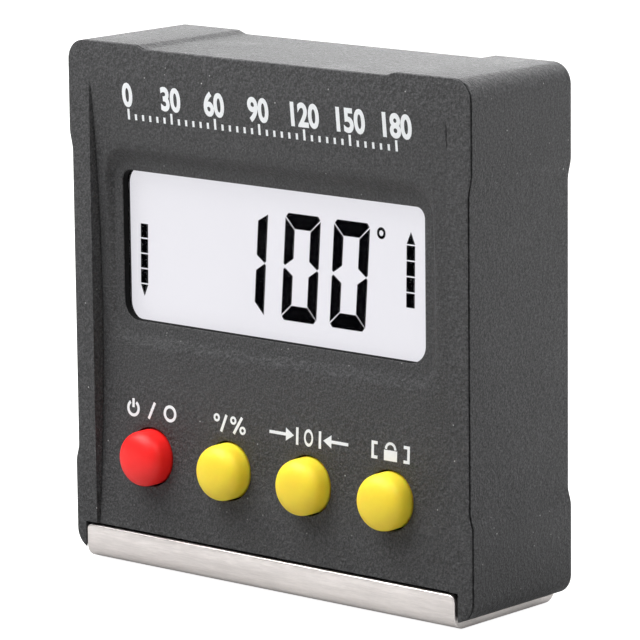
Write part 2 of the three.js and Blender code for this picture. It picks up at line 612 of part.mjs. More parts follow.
frontCover();
rearHousing();
batteryDoor();
baseChannel();
displayGasket();
displayStack();
circuitBoard();
boardParts();
batteryHolder();
BUTTON_NAMES.forEach((name, i) => button(name, BUTTON_X[i], BUTTON_COLOURS[i]));
keypad();
caseScrews();
magnets();

export default group;
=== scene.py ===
"""Finished looks of a square digital angle gauge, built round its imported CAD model.

The case, the steel channel and the rubber keys are modelled here with their fine edges, and stand for
the plain CAD solids. Everything inside the case keeps its CAD solid and gets a finish of its own.
Sizes in this file are millimetres until a mesh is made; Blender objects are in metres.
"""

import json
import logging
import math
from dataclasses import dataclass, field
from enum import Enum
from typing import Callable, Iterable, Sequence

import bmesh
import bpy
from mathutils import Matrix, Vector
from mathutils.geometry import delaunay_2d_cdt
from mathutils.kdtree import KDTree

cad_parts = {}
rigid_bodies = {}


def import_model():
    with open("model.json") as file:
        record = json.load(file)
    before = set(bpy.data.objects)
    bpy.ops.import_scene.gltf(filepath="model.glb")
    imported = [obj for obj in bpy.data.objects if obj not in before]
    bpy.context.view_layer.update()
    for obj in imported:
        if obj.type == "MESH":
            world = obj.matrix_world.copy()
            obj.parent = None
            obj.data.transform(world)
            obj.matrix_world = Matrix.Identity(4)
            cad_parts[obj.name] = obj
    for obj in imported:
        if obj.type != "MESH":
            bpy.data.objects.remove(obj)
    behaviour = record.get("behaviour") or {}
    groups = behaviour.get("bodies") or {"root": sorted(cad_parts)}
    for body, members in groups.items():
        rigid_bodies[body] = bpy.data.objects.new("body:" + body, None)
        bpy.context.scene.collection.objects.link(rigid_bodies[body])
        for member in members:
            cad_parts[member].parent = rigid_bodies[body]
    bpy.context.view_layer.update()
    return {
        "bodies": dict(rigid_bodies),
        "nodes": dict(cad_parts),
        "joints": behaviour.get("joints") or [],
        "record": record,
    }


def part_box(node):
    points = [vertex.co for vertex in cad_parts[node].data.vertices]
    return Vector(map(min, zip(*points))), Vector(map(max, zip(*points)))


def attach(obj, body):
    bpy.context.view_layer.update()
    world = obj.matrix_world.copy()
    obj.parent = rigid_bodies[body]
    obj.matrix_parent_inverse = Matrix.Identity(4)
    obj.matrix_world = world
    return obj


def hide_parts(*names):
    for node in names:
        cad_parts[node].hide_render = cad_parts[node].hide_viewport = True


log = logging.getLogger("angle_gauge")
MM = 0.001
Point2 = tuple[float, float]
Point3 = tuple[float, float, float]
EDGE_TURNS = (30, 60, 90)
TINY_RADIUS = 0.05


# --------------------------------------------------------------------------------------------------
# Outlines
# --------------------------------------------------------------------------------------------------


def arc(cx: float, cz: float, radius: float, start: float, end: float, steps: int) -> list[Point2]:
    """Points along an arc, both ends included.

    Args:
        cx, cz: Centre.
        radius: Radius.
        start, end: Angles in degrees, anticlockwise positive.
        steps: How many stretches the arc is cut into.

    Returns:
        steps + 1 points.
    """
    angles = [math.radians(start + (end - start) * i / steps) for i in range(steps + 1)]
    return [(cx + radius * math.cos(a), cz + radius * math.sin(a)) for a in angles]


def matched(one: Sequence[Point2], two: Sequence[Point2], step: float) -> list[Point2]:
    """Adds points to the second of two loops wherever the first has a stretch longer than step.

    Args:
        one: The loop whose stretches are measured.
        two: The loop that gets the points, as long as the first.
        step: The longest stretch left alone.

    Returns:
        The second loop with its added points.
    """
    dense: list[Point2] = []
    corners = zip(one, [*one[1:], one[0]], two, [*two[1:], two[0]])
    for (x0, z0), (x1, z1), (a0, b0), (a1, b1) in corners:
        count = max(1, math.ceil(math.hypot(x1 - x0, z1 - z0) / step))
        dense += [(a0 + (a1 - a0) * i / count, b0 + (b1 - b0) * i / count) for i in range(count)]
    return dense


def quarter(radius: float, degrees: Iterable[float]) -> list[Point2]:
    """How far points round a rounded edge still are from its two faces.

    Args:
        radius: The edge's radius.
        degrees: Where the points lie, from 0 to 90.

    Returns:
        Pairs that run from (radius, 0) at 0 degrees to (0, radius) at 90.
    """
    turns = [math.radians(angle) for angle in degrees]
    return [(radius * (1 - math.sin(a)), radius * (1 - math.cos(a))) for a in turns]


def circle(cx: float, cz: float, radius: float, sides: int = 64) -> list[Point2]:
    """A round loop of points, anticlockwise."""
    return arc(cx, cz, radius, 0, 360, sides)[:-1]


@dataclass(frozen=True)
class RoundBox:
    """An upright rectangle with round corners, seen from the front."""

    left: float
    right: float
    low: float
    high: float
    upper_radius: float
    lower_radius: float

    def grown(self, margin: float) -> "RoundBox":
        """The same box moved outwards by margin on every side, or inwards if it is negative."""
        return RoundBox(
            self.left - margin,
            self.right + margin,
            self.low - margin,
            self.high + margin,
            max(self.upper_radius + margin, TINY_RADIUS),
            max(self.lower_radius + margin, TINY_RADIUS),
        )

    def loop(self, steps: int = 10) -> list[Point2]:
        """The outline's corner arcs as one closed loop, always with the same number of points."""
        ru, rl = self.upper_radius, self.lower_radius
        return (
            arc(self.right - rl, self.low + rl, rl, -90, 0, steps)
            + arc(self.right - ru, self.high - ru, ru, 0, 90, steps)
            + arc(self.left + ru, self.high - ru, ru, 90, 180, steps)
            + arc(self.left + rl, self.low + rl, rl, 180, 270, steps)
        )

    def distance(self, x: float, z: float) -> float:
        """Distance from the outline: negative inside."""
        cx, cz = (self.left + self.right) / 2, (self.low + self.high) / 2
        radius = self.upper_radius if z > cz else self.lower_radius
        qx = abs(x - cx) - (self.right - self.left) / 2 + radius
        qz = abs(z - cz) - (self.high - self.low) / 2 + radius
        return math.hypot(max(qx, 0.0), max(qz, 0.0)) + min(max(qx, qz), 0.0) - radius


@dataclass(frozen=True)
class CaseOutline:
    """The case seen from the front: round corners, and shallow waists in the sides and the top."""

    half_width: float
    top: float
    bottom: float
    corner: float = 2.4
    waist: float = 0.43
    side_low: Point2 = (11.5, 13.4)
    side_high: Point2 = (48.5, 50.9)
    top_step: Point2 = (18.0, 19.4)
    bend_steps: int = 5
    bend_softness: float = 0.65
    smallest_corner: float = 0.3

    def ease(self, start: Point2, end: Point2, upright: bool) -> list[Point2]:
        """A smooth step between a land and the waist, as one S-shaped curve."""
        points = []
        for i in range(self.bend_steps + 1):
            t = i / self.bend_steps
            s = t * t * (3 - 2 * t) * self.bend_softness + t * (1 - self.bend_softness)
            across, rise = (s, t) if upright else (t, s)
            points.append((start[0] + (end[0] - start[0]) * across, start[1] + (end[1] - start[1]) * rise))
        return points

    def loop(self, inset: float = 0.0, steps: int = 10) -> list[Point2]:
        """The closed outline moved inwards by inset, always with the same number of points."""
        land, top, bottom = self.half_width - inset, self.top - inset, self.bottom + inset
        waist, dip = land - self.waist, top - self.waist
        r = max(self.corner - inset, self.smallest_corner)
        low0, low1 = self.side_low
        high0, high1 = self.side_high
        step0, step1 = self.top_step
        right = (
            arc(land - r, bottom + r, r, -90, 0, steps)
            + self.ease((land, low0), (waist, low1), True)
            + self.ease((waist, high0), (land, high1), True)
            + arc(land - r, top - r, r, 0, 90, steps)
            + self.ease((step1, top), (step0, dip), False)
        )
        return right + [(-x, z) for x, z in reversed(right)]


# --------------------------------------------------------------------------------------------------
# Mesh making
# --------------------------------------------------------------------------------------------------


def inside(loop: Sequence[Point2], x: float, z: float) -> bool:
    """Whether a point lies inside a closed loop."""
    hit = False
    x0, z0 = loop[-1]
    for x1, z1 in loop:
        if (z1 > z) != (z0 > z) and x < (x0 - x1) * (z - z1) / (z0 - z1) + x1:
            hit = not hit
        x0, z0 = x1, z1
    return hit


FILL_CLEARANCE = 0.55
MERGE = 1e-7
SHARP = 0.0001
CREASE = 30.0
SOFT_CREASE = 40.0


class MeshBuilder:
    """Collects points and faces in millimetres, then makes one Blender object from them."""

    def __init__(self) -> None:
        """Starts with nothing in it."""
        self.points: list[Point3] = []
        self.faces: list[tuple[int, ...]] = []

    def add(self, points: Iterable[Point3]) -> list[int]:
        """Adds points and returns their numbers."""
        first = len(self.points)
        self.points.extend(points)
        return list(range(first, len(self.points)))

    def strip(self, one: Sequence[int], two: Sequence[int], closed: bool = True) -> None:
        """Joins two rows of the same length with quads, and their ends too if they are closed rings."""
        count = len(one)
        for i in range(count if closed else count - 1):
            j = (i + 1) % count
            self.faces.append((one[i], one[j], two[j], two[i]))

    def run(self, ring: Sequence[int], loops: Iterable[Iterable[Point3]]) -> Sequence[int]:
        """Joins a ring to each following loop in turn, and returns the last ring."""
        for loop in loops:
            following = self.add(loop)
            self.strip(ring, following)
            ring = following
        return ring

    def tube(self, loops: Sequence[Iterable[Point3]]) -> "MeshBuilder":
        """Joins a row of equal flat loops and closes both ends with one face each."""
        first = self.add(loops[0])
        last = self.run(first, loops[1:])
        self.faces += [tuple(first), tuple(reversed(last))]
        return self

    def sheet(
        self,
        outer: Sequence[Point2],
        holes: Sequence[Sequence[Point2]],
        height: Callable[[float, float], float],
        ridges: Sequence[Sequence[Point2]] = (),
        pitch: float = 0.0,
    ) -> list[list[int]]:
        """Fills a flat outline with triangles and lifts each point to a depth along Y.

        Args:
            outer: The closed outline.
            holes: Closed outlines that stay open.
            height: Gives Y for a point's X and Z.
            ridges: Open or closed lines of points that the triangles must follow.
            pitch: Spacing of the extra points inside, or 0 for none.

        Returns:
            The point numbers of the outer loop and of each hole, in order.
        """
        loops = [list(outer)] + [list(h) for h in holes]
        flat: list[Point2] = []
        edges: list[tuple[int, int]] = []
        spans = []
        for loop in loops:
            first = len(flat)
            flat += loop
            spans.append((first, len(loop)))
            edges += [(first + i, first + (i + 1) % len(loop)) for i in range(len(loop))]
        for ridge in ridges:
            first = len(flat)
            flat += ridge
            edges += [(first + i, first + i + 1) for i in range(len(ridge) - 1)]
        if pitch:
            flat += self._filling(loops, flat, pitch)
        cut = delaunay_2d_cdt([Vector(p) for p in flat], edges, [], 0, MERGE)
        places, triangles, origins = cut[0], cut[2], cut[3]
        numbers = self.add((p.x, height(p.x, p.y), p.y) for p in places)
        found = {source: numbers[i] for i, sources in enumerate(origins) for source in sources}
        for tri in triangles:
            x = sum(places[i].x for i in tri) / 3
            z = sum(places[i].y for i in tri) / 3
            if inside(loops[0], x, z) and not any(inside(h, x, z) for h in loops[1:]):
                self.faces.append(tuple(numbers[i] for i in tri))
        return [[found[first + i] for i in range(count)] for first, count in spans]

    @staticmethod
    def _filling(loops: list[list[Point2]], fixed: list[Point2], pitch: float) -> list[Point2]:
        """Staggered points inside the outline that keep clear of the points already there."""
        tree = KDTree(len(fixed))
        for i, (x, z) in enumerate(fixed):
            tree.insert((x, z, 0), i)
        tree.balance()
        xs, zs = zip(*loops[0])
        points = []
        for row in range(1, int((max(zs) - min(zs)) / pitch) + 1):
            z = min(zs) + row * pitch
            for column in range(int((max(xs) - min(xs)) / pitch) + 1):
                x = min(xs) + (column + 0.5 * (row % 2)) * pitch
                if tree.find((x, z, 0))[2] > pitch * FILL_CLEARANCE and inside(loops[0], x, z):
                    points.append((x, z))
        return points

    def build(self, name: str, smooth_angle: float = 35.0) -> bpy.types.Object:
        """Makes the object, with merged points, outward faces and smooth shading under the angle."""
        mesh = bpy.data.meshes.new(name)
        mesh.from_pydata([Vector(p) * MM for p in self.points], [], self.faces)
        obj = new_object(name, mesh)
        tidy(obj, smooth_angle)
        return obj


def new_object(name: str, data: bpy.types.ID) -> bpy.types.Object:
    """Makes an object for a mesh, curve, camera or light and puts it into the scene."""
    obj = bpy.data.objects.new(name, data)
    bpy.context.scene.collection.objects.link(obj)
    return obj


def tidy(obj: bpy.types.Object, smooth_angle: float = 35.0) -> None:
    """Merges doubled points, turns faces outwards and smooths edges blunter than the angle."""
    work = bmesh.new()
    work.from_mesh(obj.data)
    bmesh.ops.remove_doubles(work, verts=work.verts, dist=MERGE)
    bmesh.ops.dissolve_degenerate(work, edges=work.edges, dist=MERGE)
    loose = [v for v in work.verts if not v.link_faces]
    bmesh.ops.delete(work, geom=loose, context="VERTS")
    bmesh.ops.recalc_face_normals(work, faces=work.faces)
    work.to_mesh(obj.data)
    work.free()
    obj.data.polygons.foreach_set("use_smooth", [True] * len(obj.data.polygons))
    obj.data.set_sharp_from_angle(angle=math.radians(smooth_angle))


def loft(name: str, rings: Sequence[tuple[Sequence[Point2], float]], angle: float = 35.0) -> bpy.types.Object:
    """A closed solid through a row of equal-length outlines, each at its own Y, with flat ends."""
    builder = MeshBuilder()
    loops = [[(x, y, z) for x, z in loop] for loop, y in rings]
    builder.run(builder.add(loops[0]), loops[1:])
    for loop, y in (rings[0], rings[-1]):
        builder.sheet(loop, [], lambda x, z, y=y: y)
    return builder.build(name, angle)


def rod(name: str, x: float, z: float, rings: Sequence[Point2], sides: int = 64) -> bpy.types.Object:
    """A turned solid along Y.

    Args:
        name: The object's name.
        x, z: Where its axis stands.
        rings: Radius and Y of each ring; the ends are closed flat.
        sides: How many sides the turning has.

    Returns:
        The closed solid.
    """
    return loft(name, [(circle(x, z, radius, sides), y) for radius, y in rings])


class Join(Enum):
    """How one solid works on another."""

    ADD = "UNION"
    CUT = "DIFFERENCE"


def combine(body: bpy.types.Object, tool: bpy.types.Object, how: Join) -> None:
    """Adds a closed solid to another or cuts it out, and removes it."""
    modifier = body.modifiers.new("combine", "BOOLEAN")
    modifier.operation = how.value
    modifier.solver = "MANIFOLD"
    modifier.object = tool
    settle(body)
    bpy.data.objects.remove(tool)


def settle(obj: bpy.types.Object) -> bpy.types.Object:
    """Turns an object's live modifiers into its plain mesh."""
    bpy.context.view_layer.update()
    evaluated = obj.evaluated_get(bpy.context.evaluated_depsgraph_get())
    mesh = bpy.data.meshes.new_from_object(evaluated)
    obj.modifiers.clear()
    old = obj.data
    obj.data = mesh
    bpy.data.meshes.remove(old)
    return obj


def block(low: Point3, high: Point3) -> bpy.types.Object:
    """A plain box between two corners, to add or to cut with."""
    box = RoundBox(low[0], high[0], low[2], high[2], SHARP, SHARP)
    return loft("block", [(box.loop(1), low[1]), (box.loop(1), high[1])])


@dataclass(frozen=True)
class Span:
    """The box of a CAD node at rest, in millimetres."""

    low: Vector
    high: Vector

    @classmethod
    def of(cls, node: str) -> "Span":
        """Reads a node's box from the frame."""
        low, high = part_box(node)
        return cls(low / MM, high / MM)

    @property
    def centre(self) -> Vector:
        """The middle of the box."""
        return (self.low + self.high) / 2


# --------------------------------------------------------------------------------------------------
# Finishes
# --------------------------------------------------------------------------------------------------


def group_socket(
    tree: bpy.types.NodeTree, name: str, way: str, kind: str, value: float | None = None
) -> None:
    """Adds one named socket to a node group."""
    socket = tree.interface.new_socket(name=name, in_out=way, socket_type=kind)
    if value is not None:
        socket.default_value = value


def shader_group(name: str, inputs: dict[str, float], outputs: Sequence[str]) -> tuple:
    """An empty shader node group with float sockets.

    Args:
        name: The group's name.
        inputs: Input names and their usual values.
        outputs: Output names.

    Returns:
        The tree, its input node and its output node.
    """
    tree = bpy.data.node_groups.new(name, "ShaderNodeTree")
    for key, value in inputs.items():
        group_socket(tree, key, "INPUT", "NodeSocketFloat", value)
    for key in outputs:
        group_socket(tree, key, "OUTPUT", "NodeSocketFloat")
    return tree, tree.nodes.new("NodeGroupInput"), tree.nodes.new("NodeGroupOutput")


def feed(tree: bpy.types.NodeTree, slot: bpy.types.NodeSocket, value) -> None:
    """Links a socket into a slot, or sets the slot to a plain value."""
    if isinstance(value, bpy.types.NodeSocket):
        tree.links.new(value, slot)
    elif value is not None:
        slot.default_value = value


def put(tree: bpy.types.NodeTree, kind: str, **inputs) -> bpy.types.Node:
    """Adds a node; each input is a value or a socket, and an underscore stands for a space."""
    node = tree.nodes.new(kind)
    for key, value in inputs.items():
        feed(tree, node.inputs[key.replace("_", " ")], value)
    return node


def math_node(tree: bpy.types.NodeTree, operation: str, one, two=None, three=None) -> bpy.types.NodeSocket:
    """A Math node whose operands are sockets or numbers, and its result socket."""
    node = tree.nodes.new("ShaderNodeMath")
    node.operation = operation
    for slot, value in zip(node.inputs, (one, two, three)):
        feed(tree, slot, value)
    return node.outputs[0]


def noise(tree: bpy.types.NodeTree, vector, scale, detail: float = 2.0, rough: float = 0.5):
    """A Noise Texture's value socket, with a socket or a number as its scale."""
    node = put(tree, "ShaderNodeTexNoise", Vector=vector, Scale=scale, Detail=detail, Roughness=rough)
    return node.outputs["Fac"]


def map_range(tree: bpy.types.NodeTree, value, low: float, high: float, to_low=0.0, to_high=1.0):
    """A smooth clamped Map Range node's result socket."""
    node = put(
        tree, "ShaderNodeMapRange", Value=value, From_Min=low, From_Max=high, To_Min=to_low, To_Max=to_high
    )
    node.interpolation_type = "SMOOTHSTEP"
    return node.outputs["Result"]


class Effects:
    """Node groups that several finishes share, each built once."""

    def __init__(self) -> None:
        """Builds every shared effect."""
        self.grain = self._grain()
        self.specks = self._specks()
        self.brushing = self._brushing()
        self.scuffs = self._scuffs()

    @staticmethod
    def _place(tree: bpy.types.NodeTree):
        """Object coordinates inside a group."""
        return tree.nodes.new("ShaderNodeTexCoord").outputs["Object"]

    def _grain(self) -> bpy.types.NodeTree:
        """Spark-eroded mould grain: fine pits in clusters, with a slow drift in tone."""
        sizes = {"Scale": 4200.0, "Drift": 90.0}
        tree, source, result = shader_group("mould_grain", sizes, ("Height", "Tone", "Drift"))
        place = self._place(tree)
        fine = noise(tree, place, source.outputs["Scale"], 3.0, 0.6)
        half = math_node(tree, "MULTIPLY", source.outputs["Scale"], 0.42)
        coarse = noise(tree, place, half)
        mixed = math_node(tree, "MULTIPLY_ADD", coarse, 0.6, math_node(tree, "MULTIPLY", fine, 0.4))
        drift = noise(tree, place, source.outputs["Drift"], 3.0, 0.55)
        feed(tree, result.inputs["Height"], map_range(tree, mixed, 0.36, 0.66))
        feed(tree, result.inputs["Tone"], map_range(tree, fine, 0.34, 0.68))
        feed(tree, result.inputs["Drift"], map_range(tree, drift, 0.3, 0.7))
        return tree

    def _specks(self) -> bpy.types.NodeTree:
        """Rare pale dust specks: a few small round spots of different strength."""
        sizes = {"Scale": 900.0, "Rarity": 0.72}
        tree, source, result = shader_group("dust_specks", sizes, ("Mask",))
        cells = put(tree, "ShaderNodeTexVoronoi", Vector=self._place(tree), Scale=source.outputs["Scale"])
        split = put(tree, "ShaderNodeSeparateColor", Color=cells.outputs["Color"])
        spot = map_range(tree, cells.outputs["Distance"], 0.04, 0.11, 1.0, 0.0)
        rare = math_node(tree, "GREATER_THAN", split.outputs[0], source.outputs["Rarity"])
        strength = math_node(tree, "MULTIPLY", spot, split.outputs[1])
        feed(tree, result.inputs["Mask"], math_node(tree, "MULTIPLY", strength, rare))
        return tree

    def _brushing(self) -> bpy.types.NodeTree:
        """Fine scratches; each axis factor below 1 stretches them that way."""
        sizes = {"Scale": 7000.0, "Along X": 1.0, "Along Y": 1.0, "Along Z": 1.0}
        tree, source, result = shader_group("brushing", sizes, ("Height", "Tone"))
        split = put(tree, "ShaderNodeSeparateXYZ", Vector=self._place(tree)).outputs
        scaled = {
            axis: math_node(tree, "MULTIPLY", split[axis], source.outputs["Along " + axis]) for axis in "XYZ"
        }
        place = put(tree, "ShaderNodeCombineXYZ", **scaled).outputs[0]
        fine = noise(tree, place, source.outputs["Scale"], 3.0, 0.65)
        wide = noise(tree, place, math_node(tree, "MULTIPLY", source.outputs["Scale"], 0.08))
        both = math_node(tree, "MULTIPLY_ADD", wide, 0.6, math_node(tree, "MULTIPLY", fine, 0.4))
        feed(tree, result.inputs["Height"], map_range(tree, fine, 0.3, 0.7))
        feed(tree, result.inputs["Tone"], map_range(tree, both, 0.32, 0.68))
        return tree

    def _scuffs(self) -> bpy.types.NodeTree:
        """Soft patches of handling wear that change the gloss."""
        tree, source, result = shader_group("scuffs", {"Scale": 160.0}, ("Mask",))
        patch = noise(tree, self._place(tree), source.outputs["Scale"], 5.0, 0.7)
        feed(tree, result.inputs["Mask"], map_range(tree, patch, 0.48, 0.72))
        return tree


@dataclass(frozen=True)
class Tone:
    """A colour given the way it shows on a screen, from 0 to 255."""

    red: float
    green: float
    blue: float

    def linear(self, gain: float = 1.0) -> tuple[float, float, float, float]:
        """The colour as the shader wants it, brightened or darkened by gain."""

        def channel(value: float) -> float:
            part = value / 255
            line = part / 12.92 if part <= 0.04045 else ((part + 0.055) / 1.055) ** 2.4
            return min(line * gain, 1.0)

        return (channel(self.red), channel(self.green), channel(self.blue), 1.0)


class Painter:
    """A new material with its Principled shader, and short ways to wire effects into it."""

    def __init__(self, name: str, effects: Effects) -> None:
        """Makes an empty material of that name."""
        self.material = bpy.data.materials.new(name)
        self.material.use_nodes = True
        self.tree = self.material.node_tree
        self.effects = effects
        self.shader = self.tree.nodes["Principled BSDF"]

    def effect(self, tree: bpy.types.NodeTree, **values: float) -> bpy.types.Node:
        """Places a shared effect with its own values; an underscore stands for a space."""
        node = self.tree.nodes.new("ShaderNodeGroup")
        node.node_tree = tree
        for key, value in values.items():
            feed(self.tree, node.inputs[key.replace("_", " ")], value)
        return node

    def mix(self, factor, one, two) -> bpy.types.NodeSocket:
        """Blends two colours by a factor socket; a colour is a socket or four numbers."""
        node = self.tree.nodes.new("ShaderNodeMix")
        node.data_type = "RGBA"
        for slot, value in ((node.inputs["Factor"], factor), (node.inputs[6], one), (node.inputs[7], two)):
            feed(self.tree, slot, value)
        return node.outputs[2]

    def set(self, **values) -> None:
        """Sets or links the shader's own sockets; an underscore stands for a space."""
        for key, value in values.items():
            feed(self.tree, self.shader.inputs[key.replace("_", " ")], value)

    def bump(self, height, strength: float, distance: float) -> None:
        """Wires a height into the shader's normal."""
        node = put(self.tree, "ShaderNodeBump", Strength=strength, Distance=distance, Height=height)
        self.set(Normal=node.outputs["Normal"])

    def value(self, socket, low: float, high: float) -> bpy.types.NodeSocket:
        """Maps a 0 to 1 socket onto a range."""
        return math_node(self.tree, "MULTIPLY_ADD", socket, high - low, low)


@dataclass(frozen=True)
class MouldedPlastic:
    """Matte moulded plastic with eroded grain and a few dust specks."""

    name: str
    tone: Tone
    roughness: float = 0.58
    grain: float = 0.35
    specks: float = 0.0
    specular: float = 0.5
    contrast: float = 0.55

    def paint(self, effects: Effects) -> bpy.types.Material:
        """Builds the material."""
        p = Painter(self.name, effects)
        grain = p.effect(effects.grain)
        base = p.mix(grain.outputs["Drift"], self.tone.linear(0.92), self.tone.linear(1.08))
        dark, light = self.tone.linear(1 - self.contrast), self.tone.linear(1 + self.contrast)
        pale = p.mix(grain.outputs["Tone"], dark, light)
        colour = p.mix(p.value(grain.outputs["Height"], 0.35, 0.85), base, pale)
        if self.specks:
            dust = p.effect(effects.specks)
            mask = math_node(p.tree, "MULTIPLY", dust.outputs["Mask"], self.specks)
            colour = p.mix(mask, colour, Tone(205, 205, 203).linear())
        scuffs = p.effect(effects.scuffs)
        gloss = p.value(scuffs.outputs["Mask"], self.roughness, self.roughness - 0.06)
        p.set(Base_Color=colour, Roughness=gloss, Specular_IOR_Level=self.specular)
        p.bump(grain.outputs["Height"], self.grain, 0.0001)
        return p.material


@dataclass(frozen=True)
class SatinRubber:
    """Coloured silicone with a soft satin face and very fine grain."""

    name: str
    tone: Tone
    roughness: float = 0.5
    specks: float = 0.0
    depth: float = 0.0

    def paint(self, effects: Effects) -> bpy.types.Material:
        """Builds the material."""
        p = Painter(self.name, effects)
        grain = p.effect(effects.grain, Scale=2600.0, Drift=260.0)
        base = p.mix(grain.outputs["Drift"], self.tone.linear(0.95), self.tone.linear())
        colour = p.mix(p.value(grain.outputs["Tone"], 0.0, 0.08), base, self.tone.linear(0.8))
        if self.specks:
            dust = p.effect(effects.specks, Scale=900.0, Rarity=0.6)
            mask = math_node(p.tree, "MULTIPLY", dust.outputs["Mask"], self.specks)
            colour = p.mix(mask, colour, Tone(255, 214, 210).linear())
        scuffs = p.effect(effects.scuffs, Scale=420.0)
        gloss = p.value(scuffs.outputs["Mask"], self.roughness, self.roughness + 0.08)
        p.set(Base_Color=colour, Roughness=gloss, Specular_IOR_Level=0.4)
        p.set(Subsurface_Weight=self.depth, Subsurface_Scale=0.0018, Subsurface_Radius=(1.0, 0.3, 0.1))
        p.bump(grain.outputs["Height"], 0.12, 0.00003)
        return p.material


@dataclass(frozen=True)
class BrushedMetal:
    """Metal with fine scratches, stretched along an axis where its factor is small, and slight stains."""

    name: str
    tone: Tone
    roughness: float = 0.32
    scratch: float = 0.25
    stretch: tuple[float, float, float] = (1.0, 1.0, 1.0)

    def paint(self, effects: Effects) -> bpy.types.Material:
        """Builds the material."""
        p = Painter(self.name, effects)
        x, y, z = self.stretch
        lines = p.effect(effects.brushing, Along_X=x, Along_Y=y, Along_Z=z)
        stains = p.effect(effects.scuffs, Scale=90.0)
        base = p.mix(lines.outputs["Tone"], self.tone.linear(0.86), self.tone.linear(1.08))
        worn = p.mix(p.value(stains.outputs["Mask"], 0.0, 0.35), base, self.tone.linear(0.8))
        gloss = p.value(lines.outputs["Tone"], self.roughness + 0.06, self.roughness - 0.04)
        p.set(Base_Color=worn, Metallic=1.0, Roughness=gloss)
        p.bump(lines.outputs["Height"], self.scratch, 0.00002)
        return p.material


@dataclass(frozen=True)
class SolderMask:
    """Glossy circuit board lacquer over faint copper tracks."""

    name: str
    tone: Tone
    track: Tone

    def paint(self, effects: Effects) -> bpy.types.Material:
        """Builds the material."""
        p = Painter(self.name, effects)
        place = p.tree.nodes.new("ShaderNodeTexCoord").outputs["Object"]
        cells = put(p.tree, "ShaderNodeTexVoronoi", Vector=place, Scale=260.0)
        cells.feature = "DISTANCE_TO_EDGE"
        edge = map_range(p.tree, cells.outputs["Distance"], 0.03, 0.08, 1.0, 0.0)
        grain = p.effect(effects.grain, Scale=1500.0, Drift=120.0)
        base = p.mix(grain.outputs["Drift"], self.tone.linear(0.9), self.tone.linear(1.15))
        p.set(Base_Color=p.mix(edge, base, self.track.linear()), Roughness=0.3, Specular_IOR_Level=0.5)
        p.bump(edge, 0.3, 0.00004)
        return p.material


@dataclass(frozen=True)
class GlassWithPaintedGlow:
    """The display glass: a pale, slightly uneven face, with a painted glow that stands in for light falling
    on it.
    """

    name: str
    tone: Tone
    light: Tone
    glow: float

    def paint(self, effects: Effects) -> bpy.types.Material:
        """Builds the material."""
        p = Painter(self.name, effects)
        grain = p.effect(effects.grain, Scale=900.0, Drift=45.0)
        drift = grain.outputs["Drift"]
        p.set(Base_Color=p.mix(drift, self.tone.linear(0.97), self.tone.linear()), Roughness=0.4)
        # The emission is painted light: a glow that brightens the display face beyond what the lamps give and
        # evens out its shade.
        p.set(Emission_Color=p.mix(drift, self.light.linear(0.985), self.light.linear()))
        p.set(Emission_Strength=self.glow, Specular_IOR_Level=0.2)
        return p.material


@dataclass(frozen=True)
class ClearWindow:
    """Thin clear acrylic with the faintest haze."""

    name: str

    def paint(self, effects: Effects) -> bpy.types.Material:
        """Builds the material."""
        p = Painter(self.name, effects)
        scuffs = p.effect(effects.scuffs, Scale=120.0)
        p.set(Base_Color=(1.0, 1.0, 1.0, 1.0), Roughness=p.value(scuffs.outputs["Mask"], 0.03, 0.07))
        p.set(IOR=1.3, Transmission_Weight=1.0)
        p.set(Alpha=p.value(scuffs.outputs["Mask"], 0.03, 0.05))
        return p.material


@dataclass(frozen=True)
class Ink:
    """Printed ink or a dark display segment, with a slightly broken surface."""

    name: str
    tone: Tone
    roughness: float = 0.5
    wear: float = 0.06
    specular: float = 0.3

    def paint(self, effects: Effects) -> bpy.types.Material:
        """Builds the material."""
        p = Painter(self.name, effects)
        grain = p.effect(effects.grain, Scale=2600.0, Drift=300.0)
        thin = p.value(grain.outputs["Tone"], 0.0, self.wear)
        colour = p.mix(thin, self.tone.linear(), self.tone.linear(0.55))
        p.set(Base_Color=colour, Roughness=self.roughness, Specular_IOR_Level=self.specular)
        p.bump(grain.outputs["Height"], 0.1, 0.00003)
        return p.material


